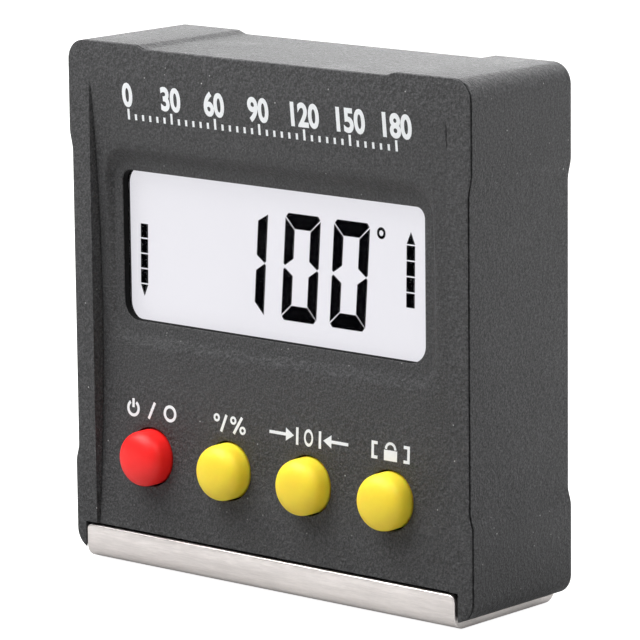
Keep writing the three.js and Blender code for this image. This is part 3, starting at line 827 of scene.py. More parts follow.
class Finish(Enum):
    """Every finish on the gauge."""

    CASE = MouldedPlastic("case_plastic", Tone(60, 60, 61), 0.56, 1.0, 0.7, 0.32, 0.9)
    DOOR = MouldedPlastic("battery_cover_plastic", Tone(58, 58, 59), 0.54, 1.0, 0.7, 0.32, 0.9)
    STEEL = BrushedMetal("base_steel", Tone(226, 220, 217), 0.36, 0.5, (0.08, 0.6, 1.0))
    GASKET = MouldedPlastic("gasket_foam", Tone(10, 10, 10), 0.9, 0.3, specular=0.15)
    WINDOW = ClearWindow("clear_window")
    # The display glass carries a painted glow that stands in for light.
    GLASS = GlassWithPaintedGlow("lcd_glass", Tone(96, 95, 98), Tone(239, 238, 244), 0.82)
    SEGMENT = Ink("lcd_segment", Tone(1, 1, 2), 0.9, 0.02, 0.0)
    PRINT = Ink("white_print", Tone(240, 242, 244), 0.5, 0.08)
    DIFFUSER = MouldedPlastic("diffuser_white", Tone(242, 242, 242), 0.5, 0.1)
    CONNECTOR = MouldedPlastic("connector_rubber", Tone(120, 125, 132), 0.7, 0.2)
    BOARD = SolderMask("board_green", Tone(22, 82, 46), Tone(60, 122, 78))
    SCREW = BrushedMetal("plated_screw", Tone(190, 191, 193), 0.3, 0.15)
    CHIP = MouldedPlastic("black_chip", Tone(26, 26, 27), 0.5, 0.3)
    CAN = BrushedMetal("crystal_can", Tone(198, 199, 201), 0.25, 0.1, (0.05, 1.0, 1.0))
    HOLDER = MouldedPlastic("holder_black", Tone(36, 37, 38), 0.5, 0.3)
    CELL = BrushedMetal("cell_steel", Tone(208, 208, 210), 0.28, 0.2, (0.03, 1.0, 1.0))
    CONTACT = BrushedMetal("contact_nickel", Tone(206, 202, 190), 0.28, 0.15, (1.0, 1.0, 0.05))
    RED = SatinRubber("red_rubber", Tone(255, 30, 28), 0.48, 0.6, 0.25)
    YELLOW = SatinRubber("yellow_rubber", Tone(255, 224, 58), 0.5, 0.0, 0.45)
    MAT = SatinRubber("mat_rubber", Tone(40, 41, 43), 0.7)
    CASE_SCREW = BrushedMetal("case_screw_steel", Tone(140, 141, 144), 0.35, 0.2)
    MAGNET = BrushedMetal("magnet_nickel", Tone(178, 180, 184), 0.25, 0.1)


class Wardrobe:
    """Keeps one material for each finish and dresses pieces in them."""

    def __init__(self) -> None:
        """Builds the shared effects; materials are made when first asked for."""
        self.effects = Effects()
        self.made: dict[Finish, bpy.types.Material] = {}

    def material(self, finish: Finish) -> bpy.types.Material:
        """The material of a finish."""
        if finish not in self.made:
            self.made[finish] = finish.value.paint(self.effects)
        return self.made[finish]

    def dress(self, obj: bpy.types.Object, finish: Finish) -> None:
        """Gives a piece that one finish all over."""
        obj.data.materials.clear()
        obj.data.materials.append(self.material(finish))


@dataclass
class Shop:
    """What every builder needs: the finishes, and a way to place a piece."""

    wardrobe: Wardrobe = field(default_factory=Wardrobe)

    def place(
        self,
        obj: bpy.types.Object,
        finish: Finish,
        body: str = "case",
        replaces: Sequence[str] = (),
        slot: str | None = None,
    ) -> bpy.types.Object:
        """Dresses a new piece, fixes it to a body and hides the CAD nodes it stands for."""
        self.wardrobe.dress(obj, finish)
        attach(obj, body)
        if replaces:
            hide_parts(*replaces)
        log.info("%s: %d faces on %s", obj.name, len(obj.data.polygons), body)
        return obj


# --------------------------------------------------------------------------------------------------
# The dished front
# --------------------------------------------------------------------------------------------------


@dataclass
class FrontShape:
    """The front panel's relief: a shallow dish between two rails, and a pocket round the display."""

    front: float
    dish_half_width: float = 26.8
    dish_depth: float = 1.4
    dish_middle: float = 29.5
    dish_half_chord: float = 27.5
    rail_wall: float = 0.07
    groove_width: float = 0.24
    groove_depth: float = 0.25
    groove_fade: float = 0.2
    floor_depth: float = 1.8
    rim: RoundBox = RoundBox(-25.3, 24.15, 26.1, 49.5, 3.2, 3.2)
    floor: RoundBox = RoundBox(-24.6, 23.4, 27.5, 47.75, 2.4, 2.4)
    ridge_low: float = 2.6
    ridge_pitch: float = 0.6
    ridge_points: int = 94
    ridge_step: float = 0.8
    slope_softness: float = 0.5
    slope_shares: tuple[float, ...] = (0.0, 0.12, 0.3, 0.5, 0.7, 0.88, 1.0)

    @property
    def dish_radius(self) -> float:
        """Radius of the cylinder that the dish is part of."""
        return (self.dish_half_chord**2 + self.dish_depth**2) / (2 * self.dish_depth)

    def dish(self, z: float) -> float:
        """Depth of the dish at a height."""
        rise = z - self.dish_middle
        if abs(rise) >= self.dish_half_chord:
            return 0.0
        return math.sqrt(self.dish_radius**2 - rise**2) - self.dish_radius + self.dish_depth

    def panel(self, x: float, z: float) -> float:
        """Y of the dished panel and its rails, without the pocket."""
        dish = self.dish(z)
        across = (self.dish_half_width - abs(x)) / self.rail_wall
        past_foot = (self.dish_half_width - self.rail_wall - abs(x)) / self.groove_width
        groove = self.groove_depth * min(dish / self.groove_fade, 1.0) * max(1 - abs(2 * past_foot - 1), 0.0)
        return self.front + dish * min(max(across, 0.0), 1.0) + groove

    def surface(self, x: float, z: float) -> float:
        """Y of the finished front surface."""
        panel = self.panel(x, z)
        outer = -self.rim.distance(x, z)
        if outer <= 0:
            return panel
        inner = max(self.floor.distance(x, z), 0.0)
        t = outer / (outer + inner) if outer + inner > 0 else 1.0
        eased = t * t * (3 - 2 * t) * self.slope_softness + t * (1 - self.slope_softness)
        deep = self.front + self.floor_depth
        return panel + (deep - panel) * eased

    def between(self, share: float) -> list[Point2]:
        """A closed loop part of the way down the pocket's sloping side."""
        outer, inner = self.rim.loop(8), self.floor.loop(8)
        return [(a + (c - a) * share, b + (d - b) * share) for (a, b), (c, d) in zip(outer, inner)]

    def ridges(self) -> list[list[Point2]]:
        """Lines that the front's triangles follow: the rail walls and the pocket's slope."""
        lines = []
        heights = [self.ridge_low + self.ridge_pitch * i for i in range(self.ridge_points)]
        for side in (-1, 1):
            foot = self.dish_half_width - self.rail_wall
            for x in (self.dish_half_width, foot, foot - self.groove_width / 2, foot - self.groove_width):
                lines.append([(side * x, z) for z in heights])
        for share in self.slope_shares:
            loop = self.between(share)
            dense = matched(loop, loop, self.ridge_step)
            lines.append([*dense, dense[0]])
        return lines


@dataclass
class FrontCover:
    """The front shell: dished face, thin flange, seam groove, window and button holes."""

    shop: Shop
    outline: CaseOutline
    shape: FrontShape
    window: RoundBox
    keys: list[Point2]
    screws: list[Point2]
    recess: "LipRecess"
    boss_back: float
    key_hole_radius: float = 3.45
    key_hole_edge: float = 0.1
    edge: float = 0.07
    flange: float = 0.15
    groove_depth: float = 0.5
    neck_back: float = 0.35
    plug_inset: float = 1.95
    thickness: float = 3.15
    window_edge: float = 0.12
    lip_depth: float = 0.8
    seat_margin: float = 1.25
    # Sizes of the near-black sheet of painted shade on the window's wall.
    wall_shade_thickness: float = 0.05
    boss_radius: float = 2.2
    pilot_radius: float = 1.1
    pilot_depth: float = 5.7
    flange_bevel: float = 0.03
    groove_slope: float = 0.02
    outline_step: float = 0.8
    window_step: float = 0.7
    wall_shade_gap: float = 0.004
    mesh_pitch: float = 0.62
    overlap: float = 0.2
    hole_sides: int = 72

    def rim_rings(self) -> list[tuple[float, float]]:
        """Inset and depth of each ring round the cover's edge, from the face to the back."""
        return quarter(self.edge, EDGE_TURNS) + [
            (0.0, self.flange - self.flange_bevel),
            (self.flange_bevel, self.flange),
            (self.groove_depth, self.flange + self.groove_slope),
            (self.groove_depth, self.neck_back),
            (self.plug_inset, self.neck_back),
            (self.plug_inset, self.thickness),
        ]

    def build(self) -> bpy.types.Object:
        """Makes the cover, adds its screw bosses and cuts the channel's recess."""
        front, back = self.shape.front, self.shape.front + self.thickness
        first = self.outline.loop(self.edge)

        def outer(inset: float) -> list[Point2]:
            return matched(first, self.outline.loop(inset), self.outline_step)

        builder = MeshBuilder()
        wide = self.key_hole_radius + self.key_hole_edge
        holes = [self._window_loop(self.window.grown(self.window_edge), self.window.grown(self.window_edge))]
        holes += [circle(x, z, wide, self.hole_sides) for x, z in self.keys]
        surface, ridges = self.shape.surface, self.shape.ridges()
        loops = builder.sheet(outer(self.edge), holes, surface, ridges, self.mesh_pitch)
        rings = ([(x, front + depth, z) for x, z in outer(inset)] for inset, depth in self.rim_rings())
        builder.run(loops[0], rings)
        back_loops = [outer(self.plug_inset), self._window_wall(builder, loops[1])]
        for (x, z), loop in zip(self.keys, loops[2:]):
            back_loops.append(self._key_wall(builder, loop, x, z))
        builder.sheet(back_loops[0], back_loops[1:], lambda x, z: back)
        cover = builder.build("front_cover_shell", CREASE)
        pilot_front, end = self.boss_back - self.pilot_depth, self.boss_back
        for x, z in self.screws:
            boss = rod("boss", x, z, [(self.boss_radius, back - self.overlap), (self.boss_radius, end)], 40)
            combine(cover, boss, Join.ADD)
            pilot = rod("pilot", x, z, [(self.pilot_radius, pilot_front), (self.pilot_radius, end + 1)], 32)
            combine(cover, pilot, Join.CUT)
        self.recess.cut(cover, self.shape.front, -1)
        tidy(cover, CREASE)
        return self.shop.place(cover, Finish.CASE, replaces=["front_cover"], slot="case_plastic")

    def build_wall_shade(self) -> bpy.types.Object:
        """Makes a near-black sheet over the window's wall in front of the clear window: painted shade that
        darkens the inner wall.
        """
        floor = self.shape.front + self.shape.floor_depth
        outer, inner = self.window.grown(-self.wall_shade_gap), self.window.grown(-self.wall_shade_thickness)
        low, high = floor + self.window_edge, floor + self.lip_depth + self.wall_shade_thickness
        rows = [(outer, low), (inner, low + self.wall_shade_thickness), (inner, high), (outer, high)]
        builder = MeshBuilder()
        rings = [builder.add((x, y, z) for x, z in self._window_loop(self.window, box)) for box, y in rows]
        for one, two in zip(rings, rings[1:] + rings[:1]):
            builder.strip(one, two)
        wall_shade = builder.build("window_wall_shade", SOFT_CREASE)
        # The gasket finish here is painted shade that darkens the window's wall.
        return self.shop.place(wall_shade, Finish.GASKET, slot="gasket_foam")

    def _window_loop(self, measured: RoundBox, wanted: RoundBox) -> list[Point2]:
        """The wanted box's loop, with points added where the measured box's loop needs them."""
        return matched(measured.loop(12), wanted.loop(12), self.window_step)

    def _window_wall(self, builder: MeshBuilder, ring: list[int]) -> list[Point2]:
        """Rounds the window's edge and runs its wall back past the seat of the clear window."""
        floor, margin = self.shape.front + self.shape.floor_depth, self.seat_margin
        seat, back = floor + self.lip_depth, self.shape.front + self.thickness
        rings = [(grow, floor + deep) for grow, deep in quarter(self.window_edge, EDGE_TURNS)]
        rings += [(0.0, seat), (margin, seat), (margin, back)]
        edge = self.window.grown(self.window_edge)
        loops = [(self._window_loop(edge, self.window.grown(grow)), y) for grow, y in rings]
        builder.run(ring, ([(x, y, z) for x, z in loop] for loop, y in loops))
        return loops[-1][0]

    def _key_wall(self, builder: MeshBuilder, ring: list[int], x: float, z: float) -> list[Point2]:
        """Rounds a button hole's edge and runs its wall to the back."""
        rings = []
        for grow, deep in quarter(self.key_hole_edge, EDGE_TURNS):
            loop = circle(x, z, self.key_hole_radius + grow, self.hole_sides)
            rings.append([(u, self.shape.surface(u, v) + deep, v) for u, v in loop])
        loop = circle(x, z, self.key_hole_radius, self.hole_sides)
        rings.append([(u, self.shape.front + self.thickness, v) for u, v in loop])
        builder.run(ring, rings)
        return loop


@dataclass(frozen=True)
class LipRecess:
    """The space that the case leaves for the channel's lips and bends."""

    left: float
    right: float
    high: float = 4.3
    depth: float = 1.05
    bend: float = 1.5

    def cut(self, shell: bpy.types.Object, face: float, side: int) -> None:
        """Cuts the space out of a shell.

        Args:
            shell: The closed shell.
            face: Y of the shell's outer face on that side.
            side: -1 at the front, 1 at the back.
        """
        for depth, high in ((self.depth, self.high), (self.bend, self.bend)):
            near, far = sorted((face + side, face - side * depth))
            combine(shell, block((self.left, near, 0.0), (self.right, far, high)), Join.CUT)


# --------------------------------------------------------------------------------------------------
# Rear housing, battery door and steel channel
# --------------------------------------------------------------------------------------------------


@dataclass
class RearHousing:
    """The rear shell: walls, back, screw recesses and the battery bay."""

    shop: Shop
    outline: CaseOutline
    front: float
    back: float
    bay: RoundBox
    screws: list[Point2]
    magnets: list[Point2]
    recess: LipRecess
    rim_edge: float = 0.05
    back_edge: float = 0.22
    wall: float = 1.6
    ledge: float = 1.2
    door_thickness: float = 1.6
    screw_recess: float = 2.15
    screw_recess_depth: float = 4.0
    latch_half_width: float = 3.3
    floor_half_width: float = 24.0
    floor_front: float = -3.0
    floor_top: float = 5.4
    magnet_hole_radius: float = 4.25
    magnet_hole_top: float = 4.4
    magnet_hole_low: float = -0.5
    floor_margin: float = 0.4
    overlap: float = 0.2
    ledge_thickness: float = 1.2
    mouth_bevel: float = 0.15
    hole_depth: float = 3.0
    post_radius: float = 2.6
    post_front: float = 2.3
    shank_radius: float = 1.25
    shank_front: float = 1.0
    flare: float = 0.25

    def build(self) -> bpy.types.Object:
        """Makes the shell from its outer form and what is cut from it."""
        loop = self.outline.loop
        rings = [(loop(self.rim_edge), self.front)]
        rings += [(loop(inset), self.front + deep) for inset, deep in quarter(self.rim_edge, EDGE_TURNS)]
        turns = range(0, 91, 15)
        rings += [(loop(inset), self.back - deep) for deep, inset in quarter(self.back_edge, turns)]
        housing = loft("rear_housing_shell", rings, CREASE)
        inner = self.back - self.wall
        cavity = loft("cavity", [(loop(self.wall), self.front - 1), (loop(self.wall), inner)])
        combine(housing, cavity, Join.CUT)
        self._floor(housing, inner)
        self._bay(housing, inner)
        for x, z in self.screws:
            self._post(housing, x, z, inner)
        self.recess.cut(housing, -self.back, -1)
        self.recess.cut(housing, self.back, 1)
        tidy(housing, CREASE)
        return self.shop.place(housing, Finish.CASE, replaces=["rear_housing"], slot="case_plastic")

    def _floor(self, housing: bpy.types.Object, inner: float) -> None:
        """Thickens the floor and sinks a pocket into it for each magnet."""
        low = self.outline.bottom + self.floor_margin
        wide = self.floor_half_width
        floor = block((-wide, self.floor_front, low), (wide, inner + self.overlap, self.floor_top))
        combine(housing, floor, Join.ADD)
        for x, y in self.magnets:
            loop = circle(x, y, self.magnet_hole_radius, 40)
            rings = [[(u, v, z) for u, v in loop] for z in (self.magnet_hole_low, self.magnet_hole_top)]
            combine(housing, MeshBuilder().tube(rings).build("magnet_hole"), Join.CUT)

    def _bay(self, housing: bpy.types.Object, inner: float) -> None:
        """Opens the battery bay, with a ledge for the door and a notch for its latch."""
        seat, out = self.back - self.door_thickness, self.back + 1
        frame = self.bay.grown(self.ledge).loop(8)
        rings = [(frame, seat - self.ledge_thickness), (frame, inner + self.overlap)]
        combine(housing, loft("bay_frame", rings), Join.ADD)
        straight, wide = self.bay.loop(8), self.bay.grown(self.mouth_bevel).loop(8)
        mouth = [(straight, seat), (straight, self.back - self.mouth_bevel), (wide, self.back), (wide, out)]
        combine(housing, loft("bay_mouth", mouth), Join.CUT)
        hole = self.bay.grown(-self.ledge).loop(8)
        combine(housing, loft("bay_hole", [(hole, seat - self.hole_depth), (hole, out)]), Join.CUT)
        half = self.latch_half_width
        low = (-half, seat - self.hole_depth, self.bay.high - self.ledge - 1)
        combine(housing, block(low, (half, out, self.bay.high)), Join.CUT)

    def _post(self, housing: bpy.types.Object, x: float, z: float, inner: float) -> None:
        """Adds one screw post and sinks its screw head into the back."""
        radius, shank, back, wide = self.post_radius, self.shank_radius, self.back, self.flare
        post = [(radius, self.post_front), (radius, inner + self.overlap)]
        combine(housing, rod("post", x, z, post, 40), Join.ADD)
        mouth, r = back - self.screw_recess_depth, self.screw_recess
        sink = [(shank, self.shank_front), (shank, mouth), (r, mouth), (r, back - self.overlap)]
        combine(housing, rod("sink", x, z, sink, 56), Join.CUT)
        flare = [(r, back - wide), (r + wide, back), (r + wide, back + 1)]
        combine(housing, rod("flare", x, z, flare, 56), Join.CUT)


@dataclass
class BatteryDoor:
    """The snap-in door on the back, with a finger notch and grip ribs."""

    shop: Shop
    bay: RoundBox
    front: float
    back: float
    gap: float = 0.3
    edge: float = 0.25
    tongue_half_width: float = 3.0
    tongue_thickness: float = 0.8
    notch_radius: float = 2.4
    notch_half_width: float = 4.5
    rib_count: int = 5
    rib_pitch: float = 1.5
    rib_width: float = 12.0
    rib_radius: float = 0.32
    rib_drop: float = 3.0
    tongue_depth: float = 2.2
    tongue_overlap: float = 0.3
    notch_centre: Point2 = (1.75, 2.9)
    notch_end: float = 0.9
    notch_shrink: float = 0.55

    def build(self, ribs: "RibRow") -> bpy.types.Object:
        """Makes the door and joins its ribs to it."""
        face = self.bay.grown(-self.gap)
        rings = [(face.loop(8), self.front)]
        turns = range(0, 91, 18)
        rings += [(face.grown(-inset).loop(8), self.back - deep) for deep, inset in quarter(self.edge, turns)]
        door = loft("battery_cover_shell", rings, CREASE)
        top = face.high
        low = (-self.tongue_half_width, self.front - self.tongue_depth, top - self.tongue_thickness)
        combine(door, block(low, (self.tongue_half_width, self.front + self.tongue_overlap, top)), Join.ADD)
        self._notch(door, top)
        tidy(door, CREASE)
        middle = (self.bay.low + self.bay.high) / 2 - self.rib_drop
        rows = ribs.build(
            "door_ribs",
            count=self.rib_count,
            pitch=self.rib_pitch * MM,
            width=self.rib_width * MM,
            radius=self.rib_radius * MM,
        )
        low_rib = middle - (self.rib_count - 1) * self.rib_pitch / 2
        rows.data.transform(Matrix.Translation(Vector((0.0, self.back, low_rib)) * MM))
        combine(door, rows, Join.ADD)
        tidy(door, CREASE)
        return self.shop.place(door, Finish.DOOR, "battery_door", ["battery_cover"], "battery_cover_plastic")

    def _notch(self, door: bpy.types.Object, top: float) -> None:
        """Scoops out the finger notch under the latch, as a cylinder lying along X."""
        y, z = self.back + self.notch_centre[0], top - self.notch_centre[1]
        wide, near, small = self.notch_half_width, self.notch_half_width - self.notch_end, self.notch_shrink
        loop = circle(0, 0, self.notch_radius, 48)
        places = ((-wide, small), (-near, 1.0), (near, 1.0), (wide, small))
        ends = [[(x, y + u * share, z + v * share) for u, v in loop] for x, share in places]
        combine(door, MeshBuilder().tube(ends).build("finger_notch"), Join.CUT)


class Pattern:
    """A Geometry Nodes tree with named sizes that ends in real geometry."""

    def __init__(self, name: str, counts: Sequence[str], sizes: Sequence[str]) -> None:
        """Makes the tree's sockets.

        Args:
            name: The tree's name.
            counts: Names of its whole-number inputs.
            sizes: Names of its length inputs, in metres.
        """
        self.tree = bpy.data.node_groups.new(name, "GeometryNodeTree")
        group_socket(self.tree, "Geometry", "OUTPUT", "NodeSocketGeometry")
        for key in counts:
            group_socket(self.tree, key, "INPUT", "NodeSocketInt")
        for key in sizes:
            group_socket(self.tree, key, "INPUT", "NodeSocketFloat")
        self.source = self.tree.nodes.new("NodeGroupInput")

    def node(self, kind: str, **inputs) -> bpy.types.Node:
        """Adds a node to the tree, with its inputs given by name."""
        return put(self.tree, kind, **inputs)

    def repeat(self, shape, **placing) -> None:
        """Puts a shape on the points of a line, makes the copies real and closes the tree."""
        offset = self.node("ShaderNodeCombineXYZ", **{placing.pop("along"): self.source.outputs["Pitch"]})
        line = self.node("GeometryNodeMeshLine", Count=self.source.outputs["Count"], Offset=offset.outputs[0])
        copies = self.node(
            "GeometryNodeInstanceOnPoints", Points=line.outputs["Mesh"], Instance=shape, **placing
        )
        real = self.node("GeometryNodeRealizeInstances", Geometry=copies.outputs["Instances"])
        paint = self.node("GeometryNodeSetMaterial", Geometry=real.outputs["Geometry"])
        self.node("NodeGroupOutput", Geometry=paint.outputs["Geometry"])

    def build(self, name: str, **values: float) -> bpy.types.Object:
        """Makes the pattern as one plain mesh, starting at the origin."""
        obj = new_object(name, bpy.data.meshes.new(name))
        modifier = obj.modifiers.new(name, "NODES")
        modifier.node_group = self.tree
        for item in self.tree.interface.items_tree:
            if item.item_type == "SOCKET" and item.in_out == "INPUT":
                modifier[item.identifier] = values[item.name.lower()]
        return settle(obj)


class RibRow(Pattern):
    """A row of round-topped grip ribs that rises along Z."""

    def __init__(self) -> None:
        """Builds the tree."""
        super().__init__("grip_ribs", ["Count"], ["Pitch", "Width", "Radius"])
        rib = self.node(
            "GeometryNodeMeshCylinder",
            Vertices=20,
            Radius=self.source.outputs["Radius"],
            Depth=self.source.outputs["Width"],
        )
        turn = self.node(
            "GeometryNodeTransform", Geometry=rib.outputs["Mesh"], Rotation=(0.0, math.pi / 2, 0.0)
        )
        self.repeat(turn.outputs["Geometry"], along="Z")


class TickRow(Pattern):
    """A row of upright ticks along X, with a longer one at every few."""

    def __init__(self) -> None:
        """Builds the tree."""
        super().__init__("scale_ticks", ["Count", "Every"], ["Pitch", "Width", "Short", "Long", "Thickness"])
        source = self.source.outputs
        size = self.node("ShaderNodeCombineXYZ", X=source["Width"], Y=source["Thickness"], Z=1.0)
        bar = self.node("GeometryNodeMeshCube", Size=size.outputs[0])
        stand = self.node("GeometryNodeTransform", Geometry=bar.outputs["Mesh"], Translation=(0.0, 0.0, 0.5))
        index = self.node("GeometryNodeInputIndex").outputs[0]
        rest = math_node(self.tree, "MODULO", index, source["Every"])
        is_long = math_node(self.tree, "LESS_THAN", rest, 0.5)
        extra = math_node(self.tree, "SUBTRACT", source["Long"], source["Short"])
        tall = math_node(self.tree, "MULTIPLY_ADD", is_long, extra, source["Short"])
        scale = self.node("ShaderNodeCombineXYZ", X=1.0, Y=1.0, Z=tall)
        self.repeat(stand.outputs["Geometry"], along="X", Scale=scale.outputs[0])


@dataclass
class BaseChannel:
    """The steel channel: a flat strip bent up into a front and a back lip."""

    shop: Shop
    span: Span
    thickness: float = 0.9
    bend: float = 1.5
    edge: float = 0.1
    nose: float = 0.22
    corners: tuple[float, float] = (0.5, 0.8)
    corner_turns: tuple[int, ...] = (0, 15, 25, 40, 55, 70, 90)
    outer_points: int = 18

    def profile(self, inset: float, drop: float) -> list[Point2]:
        """The channel's section, always with the same points.

        Args:
            inset: How far the whole section is moved inwards.
            drop: How far the tops of the lips are lowered.

        Returns:
            The section as Y and Z.
        """
        y, t = self.span.high.y - inset, self.thickness - 2 * inset
        z1 = self.span.high.z - inset - drop
        r_out = self.bend - inset
        r_in = self.bend - self.thickness + inset
        cy, cz = self.span.high.y - self.bend, self.span.low.z + self.bend
        nose = self.nose
        right = arc(cy, cz, r_out, -90, 0, 12)
        right += arc(y - nose, z1 - nose, nose, 0, 90, 4)
        right += arc(y - t + nose, z1 - nose, nose, 90, 180, 4)
        right += arc(cy, cz, r_in, 0, -90, 10)
        return right + [(-a, b) for a, b in reversed(right)]

    def build(self) -> bpy.types.Object:
        """Sweeps the section along X, with softened ends and rounded lip corners."""
        left, right = (self.ending(radius) for radius in self.corners)
        rings = [(self.span.low.x + along, inset, drop) for along, inset, drop in left]
        rings += [(self.span.high.x - along, inset, drop) for along, inset, drop in reversed(right)]
        builder = MeshBuilder()
        loops = [[(x, y, z) for y, z in self.profile(inset, drop)] for x, inset, drop in rings]
        first = builder.add(loops[0])
        for ring in (first, builder.run(first, loops[1:])):
            self._cap(builder, ring)
        channel = builder.build("base_channel_strip", SOFT_CREASE)
        return self.shop.place(channel, Finish.STEEL, replaces=["base_channel"], slot="base_steel")

    def ending(self, radius: float) -> list[Point3]:
        """Distance from one end, inset and lip drop of each section near it.

        Args:
            radius: Radius of the lips' top corners at this end.

        Returns:
            The sections, from the end inwards.
        """
        e = self.edge
        rows = []
        for drop, along in quarter(radius, self.corner_turns):
            inset = e - math.sqrt(e**2 - (e - along) ** 2) if along < e else 0.0
            rows.append((along, inset, drop))
        return rows

    def _cap(self, builder: MeshBuilder, ring: Sequence[int]) -> None:
        """Closes one end of the sweep: each outer point pairs with the inner point across the strip."""
        half, split = len(ring) // 2, self.outer_points
        sides = [ring[:half], list(reversed(ring[half:]))]
        pairs = [(side[:split], list(reversed(side[split:]))) for side in sides]
        for outer, inner in pairs:
            face_strip(builder, outer, inner)
        (outer, inner), (far_outer, far_inner) = pairs
        builder.faces.append((outer[0], inner[0], far_inner[0], far_outer[0]))


def face_strip(builder: MeshBuilder, one: list[int], two: list[int]) -> None:
    """Fills between two rows of points that run side by side, whatever their lengths."""
    i = j = 0
    while i < len(one) - 1 or j < len(two) - 1:
        if j >= len(two) - 1 or (i < len(one) - 1 and (i + 1) / len(one) <= (j + 1) / len(two)):
            builder.faces.append((one[i], one[i + 1], two[j]))
            i += 1
        else:
            builder.faces.append((one[i], two[j + 1], two[j]))
            j += 1


# --------------------------------------------------------------------------------------------------
# Keys
# --------------------------------------------------------------------------------------------------


@dataclass
class Key:
    """One domed rubber key with its flange and plunger."""

    shop: Shop
    node: str
    body: str
    finish: Finish
    slot: str
    flange_front: float
    radius: float = 3.25
    flange_radius: float = 3.9
    flange_thickness: float = 0.5
    plunger_radius: float = 1.5
    shoulder: float = 2.05
    fullness: float = 2.7
    dome_steps: int = 26
    sides: int = 72

    def build(self) -> bpy.types.Object:
        """Turns the key's section about its own axis."""
        span = Span.of(self.node)
        tip, cx, cz = span.low.y, span.centre.x, span.centre.z
        rings = []
        for i in range(1, self.dome_steps + 1):
            angle = math.radians(90 * i / self.dome_steps)
            across = math.sin(angle) ** (2 / self.fullness)
            drop = 1 - max(math.cos(angle), 0.0) ** (2 / self.fullness)
            rings.append((self.radius * across, tip + self.shoulder * drop))
        flange = self.flange_front
        rings += [(self.radius, flange), (self.flange_radius, flange)]
        rings += [(self.flange_radius, flange + self.flange_thickness)]
        rings += [(self.plunger_radius, flange + self.flange_thickness), (self.plunger_radius, span.high.y)]
        key = rod(self.node + "_cap", cx, cz, rings, self.sides)
        return self.shop.place(key, self.finish, self.body, [self.node], self.slot)


# --------------------------------------------------------------------------------------------------
# Display
# --------------------------------------------------------------------------------------------------


class Relief:
    """Collects thin flat marks that lie on a surface facing the front."""

    def __init__(self, surface: Callable[[float, float], float], proud: float, sink: float = 0.0) -> None:
        """Starts an empty set of marks.

        Args:
            surface: Gives Y of the surface at X and Z.
            proud: How far the marks stand out of it.
            sink: How far they reach into it.
        """
        self.surface, self.proud, self.sink = surface, proud, sink
        self.builder = MeshBuilder()

    def _rows(self, line: Sequence[Point2]) -> tuple[list[int], list[int]]:
        """A line of points in front of the surface, and the same line behind it."""
        near = self.builder.add((x, self.surface(x, z) - self.proud, z) for x, z in line)
        far = self.builder.add((x, self.surface(x, z) + self.sink, z) for x, z in line)
        return near, far

    def plate(self, shape: Sequence[Point2]) -> None:
        """Adds one flat piece with that outline."""
        near, far = self._rows(shape)
        self.builder.strip(near, far)
        self.builder.faces += [tuple(near), tuple(reversed(far))]

    def stroke(self, start: Point2, end: Point2, width: float) -> None:
        """Adds a straight bar between two points."""
        (x0, z0), (x1, z1) = start, end
        part = width / 2 / math.hypot(x1 - x0, z1 - z0)
        dx, dz = (z1 - z0) * part, (x0 - x1) * part
        self.plate([(x0 + dx, z0 + dz), (x0 - dx, z0 - dz), (x1 - dx, z1 - dz), (x1 + dx, z1 + dz)])

    def ring(
        self, centre: Point2, radius: float, line: float, squeeze: float = 1.0, open_half: float = 0.0
    ) -> None:
        """Adds a ring.

        Args:
            centre: Its centre.
            radius: Outer radius.
            line: Width of its line.
            squeeze: Its width as a share of its height.
            open_half: Half the angle, in degrees, that is left open at the top.
        """
        x, z = centre
        sides = 40
        arcs = [arc(0, 0, r, 90 + open_half, 450 - open_half, sides) for r in (radius, radius - line)]
        outer, inner = [[(x + u * squeeze, z + v) for u, v in row] for row in arcs]
        closed = open_half == 0.0
        if closed:
            outer, inner = outer[:-1], inner[:-1]
        rows = [*self._rows(outer), *self._rows(inner)]
        near_out, far_out, near_in, far_in = rows
        for one, two in ((near_out, near_in), (near_in, far_in), (far_in, far_out), (far_out, near_out)):
            self.builder.strip(one, two, closed)
        if not closed:
            self.builder.faces += [tuple(row[0] for row in (near_out, near_in, far_in, far_out))]
            self.builder.faces += [tuple(row[-1] for row in (far_out, far_in, near_in, near_out))]


